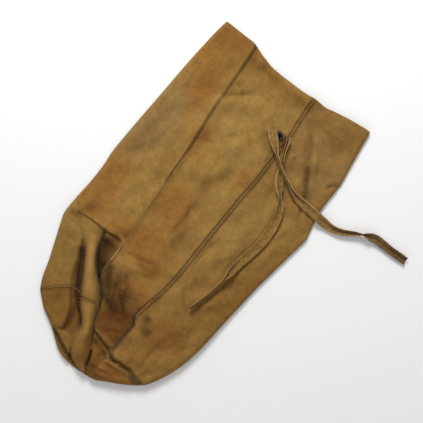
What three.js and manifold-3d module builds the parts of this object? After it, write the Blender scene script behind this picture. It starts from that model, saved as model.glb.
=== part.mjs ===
// A cotton duck mail sack lying empty and flat: a cloth tube with one felled side seam, a turned hem,
// a sewn-in round base with a bound seam, and a tie tape held at its middle by an eyelet near the mouth.
// Millimetres, +Z up. The sack rests on z = 0 with +Y from base to mouth and +X to the right seen from above.
import * as THREE from 'three';
import { mergeVertices } from 'three/addons/utils/BufferGeometryUtils.js';
import Module from 'manifold-3d';

const wasm = await Module();
wasm.setup();

// ---- Driving dimensions, millimetres ----
const sackLength = 706; // tip of the folded base to the highest corner of the mouth
const sackWidth = 393; // the flattened tube at its widest
const clothThickness = 1.2; // one layer of heavy duck
const sewnGap = 0.3; // air between two pieces that are sewn together
const hemDepth = 25;
const hemThreadFromEdge = 2; // the hem's row of thread to the hem's lower edge
const seamLapWidth = 9;
const seamLapRise = 1.2; // the felled seam stands this much above the cloth
const seamThreadSpacing = 5.4; // between the two rows of the side seam
const bindingWidth = 13;
const bindingThickness = 1.2;
const baseSeamAllowance = 12; // the base's turned-up edge inside the tube
const baseStepWidth = 3; // how far below the seam the base starts to turn inside the tube
const baseThreadSpacing = 8.6; // between the two rows on the binding
const threadWidth = 1.0;
const threadHeight = 0.6;
const tapeWidth = 19;
const tapeThickness = 1.5;
const tapeMiddleLength = 33;
const eyeletHoleDiameter = 10;
const eyeletWall = 0.7;
const eyeletFlangeDiameter = 20;
const eyeletFlangeHeight = 1.8;
const eyeletRimWidth = 1.4; // the barrel's lower end, rolled out under the washer
const washerDiameter = 19;
const washerThickness = 0.8;
const eyeletFromSeam = 16.5; // centre of the eyelet to the middle of the side seam
const eyeletFromMouth = 98;
const patchSize = 44;
const patchThreadInset = 4;

// The flattened outline, as shares of half the width (across) and half the length (along).
const leftEdge = [
  [-0.07, -1], [-0.328, -0.89], [-0.659, -0.793], [-0.964, -0.394],
  [-0.995, 0.006], [-1, 0.62], [-0.964, 0.943], [-0.96, 1.05],
];
const rightEdge = [
  [0.12, -1], [0.323, -0.974], [0.562, -0.9], [0.735, -0.822], [0.883, -0.6], [0.919, -0.456],
  [0.969, 0.116], [1, 0.331], [0.929, 0.504], [0.883, 0.731], [0.791, 1], [0.78, 1.05],
];
// The cut edge of the mouth, the base seam and the side seam run through these points.
const mouthLine = [
  [-1.1, 0.935], [-0.964, 0.943], [-0.608, 0.96], [-0.384, 0.932],
  [-0.104, 0.929], [0.186, 0.94], [0.379, 0.972], [0.791, 1], [0.95, 1.005],
];
const baseSeamLine = [
  [-0.8, -0.87], [-0.659, -0.793], [-0.333, -0.666], [-0.099, -0.637],
  [0.153, -0.731], [0.318, -0.785], [0.471, -0.816], [0.712, -0.844], [0.85, -0.85],
];
const sideSeamLine = [
  [0.186, 0.94], [0.17, 0.861], [0.221, 0.697], [0.226, 0.428],
  [0.267, 0.048], [0.277, -0.164], [0.237, -0.518], [0.26, -0.788],
];
// How thick the sack lies, from the base (along -1) to the mouth (along 1): the height of its folded side
// edges, the rise of its middle above them, and the air left under it where a seam passes below.
const thickness = [
  { along: -1, fold: 10, crown: 10, lift: 2.6 },
  { along: -0.8, fold: 13, crown: 20, lift: 2.6 },
  { along: -0.6, fold: 14, crown: 26, lift: 2.6 },
  { along: -0.52, fold: 15, crown: 27, lift: 1.2 },
  { along: -0.44, fold: 14, crown: 22, lift: 0 },
  { along: -0.28, fold: 11, crown: 12, lift: 0 },
  { along: 0, fold: 9, crown: 6, lift: 0 },
  { along: 0.24, fold: 9, crown: 4.5, lift: 0 },
  { along: 0.76, fold: 9, crown: 4, lift: 0 },
  { along: 0.83, fold: 9, crown: 4, lift: 1 },
  { along: 1.05, fold: 9, crown: 4, lift: 1 },
];
const noseStart = -0.86; // from here to the tip the base closes in a round nose
const noseEnd = 0.3; // share of its height that is left at the tip
const pastMouth = 1.04; // the lump runs on to here, past the mouth, and is then cut along the mouth
const pointsAround = 36;
const tipSteps = [0, 3, 9, 18, 30, 45]; // millimetres from the tip, where the outline turns fastest
const stationSpacing = 34;
const aboveEverything = 80;
const topLayerOnly = 7; // height that parts the upper layer of cloth from the lower one

// ---- The tie tape's free tails: points that the middle of the tape follows ----
const floorTailRoute = [
  [5, 240, 18.4], [17, 230, 18.4], [29, 220, 18.4], [41, 210, 18.6], [52, 202, 18.8], [64, 195, 18.8],
  [76, 188.5, 18.2], [88, 183, 17.4], [101, 177.5, 16.2], [114, 173, 14.9], [128, 171, 13.4], [143, 169.5, 12.7],
  [158, 168.5, 12], [172, 168, 11.7], [183, 167.6, 10.9], [193, 167.3, 7.6], [203, 167.3, 3.8],
  [214, 168.3, 1.9], [227, 171.5, 1.7], [240, 177.5, 1.7], [253, 186, 1.8], [266, 195, 3], [280, 202.5, 6],
  [294, 207, 3], [310, 208.5, 1.6], [328, 209.5, 1.5], [346, 211.3, 1.5], [366, 213.5, 1.5],
];
const sackTailRoute = [
  [44, 245, 18.4], [50, 234, 17.2], [54, 224, 16.4], [59, 214.5, 15], [65, 206, 13.95], [71, 198, 13.95],
  [77, 188, 13.95], [81, 178, 13.95], [88, 167.5, 13.9], [97, 157, 13.8], [106, 147.5, 13.7],
  [115, 137, 13.6], [122, 126, 13.4], [127, 114, 13.3], [130.5, 100, 13.2], [133, 85, 13.1],
  [134.5, 68, 13.1], [134, 48, 13.3], [131, 25, 13.8], [127, 0, 14.5], [125, -30, 16],
  [122, -62, 18], [117, -92, 20.6], [111, -121, 24.8],
];
const tapeSteps = 44;

const palette = {
  duck: new THREE.MeshStandardMaterial({ color: 0x967640, roughness: 0.95, metalness: 0 }),
  baseDuck: new THREE.MeshStandardMaterial({ color: 0x8a6a3c, roughness: 0.95, metalness: 0 }),
  binding: new THREE.MeshStandardMaterial({ color: 0x6f6047, roughness: 0.95, metalness: 0 }),
  tape: new THREE.MeshStandardMaterial({ color: 0xa08850, roughness: 0.9, metalness: 0 }),
  thread: new THREE.MeshStandardMaterial({ color: 0x6a5230, roughness: 0.9, metalness: 0 }),
  metal: new THREE.MeshStandardMaterial({ color: 0x2b3036, roughness: 0.45, metalness: 1 }),
};

// ---- Closed solids for cutting and joining ----
function solidOf(geometry) {
  const plain = geometry.clone();
  plain.deleteAttribute('normal');
  plain.deleteAttribute('uv');
  const merged = mergeVertices(plain, 1e-4);
  return new wasm.Manifold(new wasm.Mesh({
    numProp: 3,
    vertProperties: merged.attributes.position.array,
    triVerts: new Uint32Array(merged.index.array),
  }));
}

function geometryOf(solid) {
  const mesh = solid.getMesh();
  const geometry = new THREE.BufferGeometry();
  geometry.setAttribute('position', new THREE.BufferAttribute(new Float32Array(mesh.vertProperties), 3));
  geometry.setIndex(new THREE.BufferAttribute(new Uint32Array(mesh.triVerts), 1));
  geometry.computeVertexNormals();
  return geometry;
}

// ---- The flattened sack as a shape ----
// A smooth curve through (at, value) pairs that are sorted by at.
function smoothThrough(pairs, at) {
  const last = pairs.length - 1;
  let i = pairs.findIndex(([key]) => key > at) - 1;
  if (i < 0) i = at <= pairs[0][0] ? 0 : last - 1;
  const [x0, v0] = pairs[i];
  const [x1, v1] = pairs[i + 1];
  const slope = (a, b) => (pairs[b][1] - pairs[a][1]) / (pairs[b][0] - pairs[a][0]);
  const m0 = slope(Math.max(i - 1, 0), i + 1) * (x1 - x0);
  const m1 = slope(i, Math.min(i + 2, last)) * (x1 - x0);
  const t = THREE.MathUtils.clamp((at - x0) / (x1 - x0), 0, 1);
  const t2 = t * t;
  const t3 = t2 * t;
  return v0 * (2 * t3 - 3 * t2 + 1) + m0 * (t3 - 2 * t2 + t) + v1 * (3 * t2 - 2 * t3) + m1 * (t3 - t2);
}

function straightThrough(key, along) {
  const next = Math.max(1, thickness.findIndex((station) => station.along >= along));
  const a = thickness[next - 1];
  const b = thickness[next];
  return THREE.MathUtils.mapLinear(along, a.along, b.along, a[key], b[key]);
}

const byAlong = (edge) => edge.map(([across, along]) => [along, across]);
const leftByAlong = byAlong(leftEdge);
const rightByAlong = byAlong(rightEdge);

// One closed cross-section at a place along the sack, grown outwards (or inwards, if negative).
function sectionAt(along, grow) {
  const xLeft = smoothThrough(leftByAlong, along) * sackWidth / 2 - grow;
  const xRight = smoothThrough(rightByAlong, along) * sackWidth / 2 + grow;
  const halfWidth = (xRight - xLeft) / 2;
  const fold = straightThrough('fold', along);
  const crown = straightThrough('crown', along);
  const middle = straightThrough('lift', along) + fold / 2;
  const radius = Math.min(fold / 2 + grow, halfWidth * 0.9);
  const k = THREE.MathUtils.clamp((noseStart - along) / (noseStart + 1), 0, 1);
  const nose = noseEnd + (1 - noseEnd) * Math.sqrt(1 - k * k);
  const y = along * sackLength / 2 - grow * (1 - along) / 2;
  const points = [];
  for (let i = 0; i < pointsAround; i++) {
    const angle = (i / pointsAround) * Math.PI * 2;
    const fromMiddle = -Math.cos(angle) * halfWidth;
    const fromEdge = halfWidth - Math.abs(fromMiddle);
    const inRound = Math.max(0, radius - fromEdge);
    const side = (fold / 2 + grow) * Math.sqrt(1 - (inRound / radius) ** 2);
    const onTop = i > 0 && i < pointsAround / 2;
    const rise = onTop ? side + crown * (1 - (fromMiddle / halfWidth) ** 2) : -side;
    points.push(new THREE.Vector3(xLeft + halfWidth + fromMiddle, y, middle + rise * nose));
  }
  return points;
}

// The places along the sack where it gets a cross-section.
function stations() {
  const list = tipSteps.map((step) => -1 + step / (sackLength / 2));
  const start = list[list.length - 1];
  const count = Math.round((pastMouth - start) * sackLength / 2 / stationSpacing);
  for (let i = 1; i <= count; i++) list.push(start + (pastMouth - start) * i / count);
  return list;
}

// The whole sack as one lump, grown outwards by a distance: its skins and layers are cut from such lumps.
const lumps = new Map();
function lump(grow) {
  const key = grow.toFixed(3);
  if (lumps.has(key)) return lumps.get(key);
  const loops = stations().map((along) => sectionAt(along, grow));
  const positions = loops.flat().flatMap((point) => point.toArray());
  const index = [];
  const n = pointsAround;
  for (let row = 0; row + 1 < loops.length; row++) {
    for (let i = 0; i < n; i++) {
      const a = row * n + i;
      const b = row * n + (i + 1) % n;
      index.push(a, b, a + n, b, b + n, a + n);
    }
  }
  const closeEnd = (loop, offset, turn) => {
    const centre = loop.reduce((sum, point) => sum.add(point), new THREE.Vector3()).divideScalar(n);
    const hub = positions.length / 3;
    positions.push(...centre.toArray());
    for (let i = 0; i < n; i++) {
      const a = offset + i;
      const b = offset + (i + 1) % n;
      if (turn) index.push(hub, a, b);
      else index.push(hub, b, a);
    }
  };
  closeEnd(loops[0], 0, false);
  closeEnd(loops[loops.length - 1], (loops.length - 1) * n, true);
  const geometry = new THREE.BufferGeometry();
  geometry.setAttribute('position', new THREE.Float32BufferAttribute(positions, 3));
  geometry.setIndex(index);
  const solid = solidOf(geometry);
  lumps.set(key, solid);
  return solid;
}

const layer = (outer, inner) => lump(outer).subtract(lump(inner));

// ---- Regions seen from above, as upright prisms ----
const place = ([across, along]) => new THREE.Vector2(across * sackWidth / 2, along * sackLength / 2);
const traced = (line, count) => new THREE.SplineCurve(line.map(place)).getSpacedPoints(count);

function prism(outline, low = -aboveEverything, high = aboveEverything) {
  const geometry = new THREE.ExtrudeGeometry(new THREE.Shape(outline), {
    depth: high - low,
    bevelEnabled: false,
  });
  geometry.translate(0, 0, low);
  return solidOf(geometry);
}

// The points of a line moved sideways, to its left if the distance is positive.
function beside(points, distance) {
  return points.map((point, i) => {
    const before = points[Math.max(i - 1, 0)];
    const after = points[Math.min(i + 1, points.length - 1)];
    const run = after.clone().sub(before).normalize();
    return new THREE.Vector2(point.x - run.y * distance, point.y + run.x * distance);
  });
}

const ribbon = (points, left, right, low) => (
  prism([...beside(points, right), ...beside(points, left).reverse()], low)
);

const mouthPoints = traced(mouthLine, 24);
const baseSeamPoints = traced(baseSeamLine, 24);
const sideSeamPoints = traced(sideSeamLine, 20);
const shifted = (points, dy) => points.map((point) => new THREE.Vector2(point.x, point.y + dy));

// Everything between two lines that cross the sack from left to right.
const between = (upper, lower, low) => prism([...lower, ...[...upper].reverse()], low);
const farUp = [new THREE.Vector2(-sackWidth, sackLength), new THREE.Vector2(sackWidth, sackLength)];
const farDown = [new THREE.Vector2(-sackWidth, -sackLength), new THREE.Vector2(sackWidth, -sackLength)];
const aboveSeam = (margin) => between(farUp, beside(baseSeamPoints, margin));
const belowSeam = (margin) => between(beside(baseSeamPoints, margin), farDown);
const overMouth = between(farUp, mouthPoints);

// ---- Where the eyelet sits ----
// The middle of the side seam at a height, and the height of the cloth's upper face there.
function seamAcross(y) {
  const after = sideSeamPoints.findIndex((point) => point.y <= y);
  const a = sideSeamPoints[after - 1];
  const b = sideSeamPoints[after];
  return THREE.MathUtils.mapLinear(y, a.y, b.y, a.x, b.x);
}

function clothTop(x, y) {
  const along = y / (sackLength / 2);
  const points = sectionAt(along, 0).slice(0, pointsAround / 2 + 1);
  const after = points.findIndex((point) => point.x >= x);
  const a = points[after - 1];
  const b = points[after];
  return THREE.MathUtils.mapLinear(x, a.x, b.x, a.z, b.z);
}

const eyeletY = place(mouthLine[5]).y - eyeletFromMouth;
const eyeletX = seamAcross(eyeletY) - eyeletFromSeam;
const eyeletZ = clothTop(eyeletX, eyeletY);
const eyeletTubeRadius = eyeletHoleDiameter / 2 + eyeletWall;

function drill(radius) {
  const geometry = new THREE.CylinderGeometry(radius, radius, 2 * aboveEverything, 24);
  geometry.rotateX(Math.PI / 2);
  geometry.translate(eyeletX, eyeletY, topLayerOnly + aboveEverything);
  return solidOf(geometry);
}
const eyeletClearHole = drill(eyeletTubeRadius + sewnGap);

// ---- The cloth ----
const hemLine = shifted(mouthPoints, -hemDepth);
const bindingZone = ribbon(baseSeamPoints, bindingWidth / 2 + sewnGap, -bindingWidth / 2 - sewnGap);
const onUpperSeam = aboveSeam(0).subtract(bindingZone).subtract(between(farUp, hemLine));

function makeBodyPanel() {
  const lap = ribbon(sideSeamPoints, seamLapWidth / 2, -seamLapWidth / 2, topLayerOnly);
  const seamLap = lump(seamLapRise).intersect(lap).intersect(onUpperSeam);
  const inside = lump(-clothThickness).intersect(between(hemLine, farDown));
  const insideHem = lump(-2 * clothThickness);
  return lump(0)
    .intersect(aboveSeam(sewnGap / 2))
    .subtract(overMouth)
    .add(seamLap)
    .subtract(inside)
    .subtract(insideHem)
    .subtract(eyeletClearHole);
}

function makeBasePanel() {
  const lapOuter = -clothThickness - sewnGap;
  const lapInner = lapOuter - clothThickness;
  const pouch = lump(0)
    .intersect(belowSeam(-sewnGap / 2))
    .subtract(lump(-clothThickness).intersect(belowSeam(-baseStepWidth)))
    .subtract(lump(lapInner));
  const turnedUp = layer(lapOuter, lapInner)
    .intersect(between(beside(baseSeamPoints, baseSeamAllowance), beside(baseSeamPoints, -baseStepWidth / 2)));
  return pouch.add(turnedUp);
}

function makeBinding() {
  return layer(sewnGap + bindingThickness, sewnGap)
    .intersect(ribbon(baseSeamPoints, bindingWidth / 2, -bindingWidth / 2));
}

function makeEyeletPatch() {
  const half = patchSize / 2;
  const corners = [[-half, -half], [half, -half], [half, half], [-half, half]]
    .map(([x, y]) => new THREE.Vector2(eyeletX + x, eyeletY + y));
  return layer(-clothThickness - sewnGap, -2 * clothThickness - sewnGap)
    .intersect(prism(corners, topLayerOnly))
    .subtract(eyeletClearHole);
}

// ---- The tie tape ----
function makeTapeMiddle() {
  const half = tapeWidth / 2;
  const seamLeft = Math.min(seamAcross(eyeletY - half), seamAcross(eyeletY + half)) - seamLapWidth / 2;
  const right = seamLeft - 2 * sewnGap;
  const left = right - tapeMiddleLength;
  const corners = [[left, -half], [right, -half], [right, half], [left, half]]
    .map(([x, y]) => new THREE.Vector2(x, eyeletY + y));
  return layer(sewnGap + tapeThickness, sewnGap)
    .intersect(prism(corners, topLayerOnly))
    .subtract(eyeletClearHole);
}

function makeTapeTail(route) {
  const half = tapeWidth / 2;
  const edge = tapeThickness / 5;
  const bevel = tapeThickness / 2 - edge;
  const side = [
    [tapeThickness / 2, half - bevel], [edge, half], [-edge, half], [-tapeThickness / 2, half - bevel],
  ];
  const section = [...side, ...side.map(([x, y]) => [-x, -y])];
  const curve = new THREE.CatmullRomCurve3(route.map((point) => new THREE.Vector3(...point)));
  return new THREE.ExtrudeGeometry(new THREE.Shape(section.map(([x, y]) => new THREE.Vector2(x, y))), {
    steps: tapeSteps,
    bevelEnabled: false,
    extrudePath: curve,
  });
}

// ---- The eyelet ----
const turned = (profile) => {
  const geometry = new THREE.LatheGeometry(profile.map(([r, z]) => new THREE.Vector2(r, z)), 24);
  geometry.rotateX(Math.PI / 2);
  geometry.translate(eyeletX, eyeletY, 0);
  return geometry;
};
const flangeBottom = eyeletZ + sewnGap + tapeThickness + sewnGap;
const washerTop = eyeletZ - 2 * clothThickness - 2 * sewnGap;
const washerBottom = washerTop - washerThickness;

// The barrel: a rounded flange on top of the tape, a tube through every layer, and a rim rolled out below.
function makeEyeletBarrel() {
  const hole = eyeletHoleDiameter / 2;
  const tube = eyeletTubeRadius;
  const flange = eyeletFlangeDiameter / 2;
  const top = flangeBottom + eyeletFlangeHeight;
  const rimTop = washerBottom - sewnGap;
  const rimBottom = rimTop - eyeletWall;
  return turned([
    [hole, rimBottom + eyeletWall / 2],
    [hole + eyeletWall / 2, rimBottom],
    [tube + eyeletRimWidth, rimBottom],
    [tube + eyeletRimWidth, rimTop],
    [tube, rimTop],
    [tube, flangeBottom],
    [flange, flangeBottom],
    [flange, flangeBottom + eyeletFlangeHeight * 0.4],
    [flange * 0.86, top - 0.2],
    [flange * 0.72, top],
    [hole + 0.8, top - 0.3],
    [hole, flangeBottom + 0.6],
    [hole, rimBottom + eyeletWall / 2],
  ]);
}

function makeEyeletWasher() {
  const inner = eyeletTubeRadius + sewnGap;
  return turned([
    [inner, washerBottom],
    [washerDiameter / 2, washerBottom],
    [washerDiameter / 2, washerTop],
    [inner, washerTop],
    [inner, washerBottom],
  ]);
}

// ---- The threads ----
const threadOn = (surface) => layer(surface + sewnGap + threadHeight, surface + sewnGap);
const threadRow = (points, offset) => ribbon(points, offset + threadWidth / 2, offset - threadWidth / 2);

function makeSideSeamThread(offset) {
  return threadOn(seamLapRise)
    .intersect(ribbon(sideSeamPoints, offset + threadWidth / 2, offset - threadWidth / 2, topLayerOnly))
    .intersect(onUpperSeam);
}

function makeHemThread() {
  const row = shifted(mouthPoints, -hemDepth + hemThreadFromEdge);
  return threadOn(0).intersect(between(shifted(row, threadWidth / 2), shifted(row, -threadWidth / 2)));
}

const makeBaseThread = (offset) => (
  threadOn(sewnGap + bindingThickness).intersect(threadRow(baseSeamPoints, offset))
);

function makePatchThread() {
  const outer = patchSize / 2 - patchThreadInset;
  const inner = outer - threadWidth;
  const square = (half) => prism([[-half, -half], [half, -half], [half, half], [-half, half]]
    .map(([x, y]) => new THREE.Vector2(eyeletX + x, eyeletY + y)), 0);
  const underPatch = -2 * clothThickness - sewnGap;
  return layer(underPatch - sewnGap, underPatch - sewnGap - threadHeight)
    .intersect(square(outer))
    .subtract(square(inner))
    .intersect(prism([...farDown, ...[...farUp].reverse()], topLayerOnly));
}

// ---- The assembly ----
const sack = new THREE.Group();

function addPiece(name, shape, material) {
  const geometry = shape.isBufferGeometry ? shape : geometryOf(shape);
  const mesh = new THREE.Mesh(geometry, material);
  mesh.name = name;
  sack.add(mesh);
}

addPiece('body_panel', makeBodyPanel(), palette.duck);
addPiece('base_panel', makeBasePanel(), palette.baseDuck);
addPiece('base_seam_binding', makeBinding(), palette.binding);
addPiece('eyelet_patch', makeEyeletPatch(), palette.duck);
addPiece('eyelet_barrel', makeEyeletBarrel(), palette.metal);
addPiece('eyelet_washer', makeEyeletWasher(), palette.metal);
addPiece('tie_tape_middle', makeTapeMiddle(), palette.tape);
addPiece('tie_tape_floor_tail', makeTapeTail(floorTailRoute), palette.tape);
addPiece('tie_tape_sack_tail', makeTapeTail(sackTailRoute), palette.tape);
addPiece('side_seam_thread_left', makeSideSeamThread(-seamThreadSpacing / 2), palette.thread);
addPiece('side_seam_thread_right', makeSideSeamThread(seamThreadSpacing / 2), palette.thread);
addPiece('hem_thread', makeHemThread(), palette.thread);
addPiece('base_seam_thread_upper', makeBaseThread(baseThreadSpacing / 2), palette.thread);
addPiece('base_seam_thread_lower', makeBaseThread(-baseThreadSpacing / 2), palette.thread);
addPiece('patch_thread', makePatchThread(), palette.thread);

export default sack;
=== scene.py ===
# %% [markdown]
# # A canvas mail sack, laid flat
# The sack is a tube of olive-tan cotton duck with a sewn-in round base. It lies empty on its side, its
# mouth away from us, its base folded over on itself, and a flat cotton tape hangs from an eyelet near the
# mouth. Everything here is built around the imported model, which fixes where each piece lies.

import math

import bpy
import numpy as np
from mathutils.bvhtree import BVHTree
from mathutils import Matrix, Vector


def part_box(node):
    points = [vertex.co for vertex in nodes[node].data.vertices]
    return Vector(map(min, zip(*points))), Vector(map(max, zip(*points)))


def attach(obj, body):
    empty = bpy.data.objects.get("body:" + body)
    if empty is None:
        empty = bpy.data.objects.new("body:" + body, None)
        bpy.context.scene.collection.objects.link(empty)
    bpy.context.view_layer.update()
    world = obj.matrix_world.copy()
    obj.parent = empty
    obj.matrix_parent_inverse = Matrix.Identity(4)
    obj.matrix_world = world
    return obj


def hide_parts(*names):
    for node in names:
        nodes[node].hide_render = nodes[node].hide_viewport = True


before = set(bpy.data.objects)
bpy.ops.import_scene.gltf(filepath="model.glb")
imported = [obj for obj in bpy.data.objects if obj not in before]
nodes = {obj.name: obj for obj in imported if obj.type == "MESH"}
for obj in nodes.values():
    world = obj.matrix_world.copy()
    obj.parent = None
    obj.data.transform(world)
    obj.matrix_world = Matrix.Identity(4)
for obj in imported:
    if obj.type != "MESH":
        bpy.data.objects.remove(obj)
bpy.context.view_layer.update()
print("nodes", sorted(nodes))

# %% [markdown]
# ## Sizes
# A maker cuts duck to a plan, so the sizes that matter are named once. Lengths below are millimetres,
# because a seam is easier to think about as 9 than as 0.009. Meshes are scaled to metres when they are made.

# %% Sizes of the cloth, the tape and the metal
MM = 0.001
duck_thickness = 1.2
hem_depth = 25.0
seam_width = 9.0
seam_rise = 1.1
binding_thickness = 1.2
tape_width = 19.0
tape_thickness = 1.5
table_clearance = 0.03

# %% [markdown]
# ## Lines and masks
# Folded cloth is easiest to describe by where its edges run. Each fold is a smooth line through a few given
# points, and a height or a stain is then a soft step on one side of that line.

# %% Helpers for lines, steps and masks
def smooth(low, high, value):
    """0 below low, 1 above high, and a soft step between. With low above high it falls instead."""
    t = np.clip((value - low) / (high - low), 0, 1)
    return t * t * (3 - 2 * t)


def curve(points, step=4.0):
    """A smooth line through the points, with a new point about every step."""
    p = np.array(points, float)
    ends = np.vstack([2 * p[0] - p[1], p, 2 * p[-1] - p[-2]])
    out = []
    for a, b, c, d in zip(ends, ends[1:], ends[2:], ends[3:]):
        n = max(1, int(round(np.linalg.norm(c - b) / step)))
        t = np.arange(n)[:, None] / n
        out.append(b + 0.5 * t * (c - a + t * (2 * a - 5 * b + 4 * c - d + t * (3 * b - a - 3 * c + d))))
    return np.vstack([*out, p[-1:]])


def beside(line, x, y):
    """Distance to a line, positive on its left as it runs, and how far along it the nearest point is."""
    shape = np.shape(x)
    px, py = np.ravel(x), np.ravel(y)
    best = np.full(px.shape, 1e9)
    side = np.ones_like(best)
    share = np.zeros_like(best)
    for k, (a, b) in enumerate(zip(line[:-1], line[1:])):
        ux, uy = b[0] - a[0], b[1] - a[1]
        t = np.clip(((px - a[0]) * ux + (py - a[1]) * uy) / (ux * ux + uy * uy + 1e-12), 0, 1)
        gx, gy = px - a[0] - ux * t, py - a[1] - uy * t
        gap = np.hypot(gx, gy)
        near = gap < best
        best = np.where(near, gap, best)
        side = np.where(near, np.where(ux * gy - uy * gx >= 0, 1.0, -1.0), side)
        share = np.where(near, (k + t) / (len(line) - 1), share)
    return (best * side).reshape(shape), share.reshape(shape)


def within(corners, x, y, soft):
    """1 inside a closed outline, 0 outside, with a soft edge."""
    ring = np.array([*corners, corners[0]], float)
    gap = np.abs(beside(ring, x, y)[0])
    odd = np.zeros(np.shape(x), bool)
    for (ax, ay), (bx, by) in zip(ring[:-1], ring[1:]):
        if ay != by:
            odd ^= ((ay > y) != (by > y)) & (x < (bx - ax) * (y - ay) / (by - ay) + ax)
    return smooth(-soft, soft, np.where(odd, gap, -gap))


def mix(a, b, amount):
    return a + (b - a) * amount


def bell(gap, wide):
    """1 on a line, and next to nothing at about twice wide from it."""
    return np.exp(-((gap / wide) ** 2))


def faded(share, reach):
    """1 along the middle of a line, and down to 0 at its two ends."""
    return smooth(0, reach, share) * smooth(1, 1 - reach, share)


# %% Helper that makes a mesh object from rows of millimetre points
def cloth_object(name, points, faces):
    mesh = bpy.data.meshes.new(name)
    mesh.from_pydata((np.asarray(points, float).reshape(-1, 3) * MM).tolist(), [], faces)
    mesh.validate()
    mesh.polygons.foreach_set("use_smooth", [True] * len(mesh.polygons))
    piece = bpy.data.objects.new(name, mesh)
    bpy.context.scene.collection.objects.link(piece)
    return piece


def grid_faces(rows, columns, round_columns=False, start=0):
    """Faces of a sheet of rows by columns points, which may close on itself across the columns."""
    last = columns if round_columns else columns - 1
    return [
        (
            start + i * columns + j,
            start + i * columns + (j + 1) % columns,
            start + (i + 1) * columns + (j + 1) % columns,
            start + (i + 1) * columns + j,
        )
        for i in range(rows - 1)
        for j in range(last)
    ]


def finished(piece):
    """Apply a piece's modifiers, so that a plain mesh is left."""
    bpy.context.view_layer.update()
    made = bpy.data.meshes.new_from_object(piece.evaluated_get(bpy.context.evaluated_depsgraph_get()))
    piece.modifiers.clear()
    piece.data = made
    place = np.zeros(len(made.vertices) * 3, np.float32)
    made.vertices.foreach_get("co", place)
    place[2::3] = np.maximum(place[2::3], table_clearance * MM)
    made.vertices.foreach_set("co", place)
    return piece


def thickened(piece, thickness):
    """Give a sheet its thickness, inwards from its outer face."""
    wall = piece.modifiers.new("cloth", "SOLIDIFY")
    wall.thickness, wall.offset = thickness * MM, -1
    return finished(piece)


# %% [markdown]
# ## Camera
# The sack is looked at straight from above, from far enough that its sides hardly splay, and it lies
# askew to the view, so the camera is turned about the vertical.

# %% Camera
camera_height = 2.1
camera_turn = 0.7095
view_width = 0.8070
sensor_width = 36
camera = bpy.data.objects.new("camera", bpy.data.cameras.new("camera"))
camera.location = (0.0240, 0.0441, camera_height)
camera.rotation_euler = (0, 0, camera_turn)
camera.data.sensor_width = sensor_width
camera.data.lens = sensor_width * camera_height / view_width
bpy.context.scene.collection.objects.link(camera)
bpy.context.scene.camera = camera
print("lens", round(camera.data.lens, 1))

# %% [markdown]
# ## Floor and light
# A white table and one large soft lamp. The lamp hangs beyond the mouth on the left, so that every fold
# drops a soft shadow towards the base, and the pale surroundings fill the rest.

# %% Floor and lights
def plain_finish(name, colour, roughness):
    finish = bpy.data.materials.new(name)
    finish.use_nodes = True
    shader = finish.node_tree.nodes["Principled BSDF"]
    shader.inputs["Base Color"].default_value = (*colour, 1)
    shader.inputs["Roughness"].default_value = roughness
    return finish


table_reach, table_level = 4000, -0.1
corners = ((-1, -1), (1, -1), (1, 1), (-1, 1))
table_top = cloth_object(
    "table_top", [(x * table_reach, y * table_reach, table_level) for x, y in corners], [(0, 1, 2, 3)]
)
table_top.data.materials.append(plain_finish("white_table", (0.92, 0.92, 0.92), 0.6))


def soft_lamp(name, place, size, power):
    lamp = bpy.data.objects.new(name, bpy.data.lights.new(name, "AREA"))
    lamp.data.shape = "DISK"
    lamp.data.size = size
    lamp.data.energy = power
    lamp.location = place
    lamp.rotation_euler = (-lamp.location).to_track_quat("-Z", "Y").to_euler()
    bpy.context.scene.collection.objects.link(lamp)


soft_lamp("big_soft_lamp", (-1.3, 1.4, 1.55), 0.9, 50)
soft_lamp("fill_lamp", (0.9, -1.2, 1.9), 2.0, 4)

sky = bpy.data.worlds.new("pale_room")
sky.use_nodes = True
pale = sky.node_tree.nodes["Background"].inputs
pale["Color"].default_value, pale["Strength"].default_value = (1, 1, 1, 1), 0.45
bpy.context.scene.world = sky
bpy.context.scene.view_settings.view_transform = "Standard"

# %% [markdown]
# ## Tie tape tails
# The tie tape is one length of flat cotton webbing, caught at its middle by the eyelet, so two tails hang
# from it. Webbing can't bend sideways: to turn a corner it rolls up along its length. Each tail is
# therefore two arms that meet on the route, and each arm can lift on its own, from flat to almost upright.

# %% Routes of the two tails, in metres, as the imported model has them
floor_tail_route = [
    (0.005, 0.240, 0.0184), (0.017, 0.230, 0.0184), (0.029, 0.220, 0.0184), (0.041, 0.210, 0.0186),
    (0.052, 0.202, 0.0188), (0.064, 0.195, 0.0188), (0.076, 0.1885, 0.0182), (0.088, 0.183, 0.0174),
    (0.101, 0.1775, 0.0162), (0.114, 0.173, 0.0149), (0.128, 0.171, 0.0134), (0.143, 0.1695, 0.0127),
    (0.158, 0.1685, 0.012), (0.172, 0.168, 0.0117), (0.183, 0.1676, 0.0109), (0.193, 0.1673, 0.0076),
    (0.203, 0.1673, 0.0038), (0.214, 0.1683, 0.0019), (0.227, 0.1715, 0.0017), (0.240, 0.1775, 0.0017),
    (0.253, 0.186, 0.0018), (0.266, 0.195, 0.003), (0.280, 0.2025, 0.006), (0.294, 0.207, 0.003),
    (0.310, 0.2085, 0.0016), (0.328, 0.2095, 0.0015), (0.346, 0.2113, 0.0015), (0.366, 0.2135, 0.0015),
]
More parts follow.
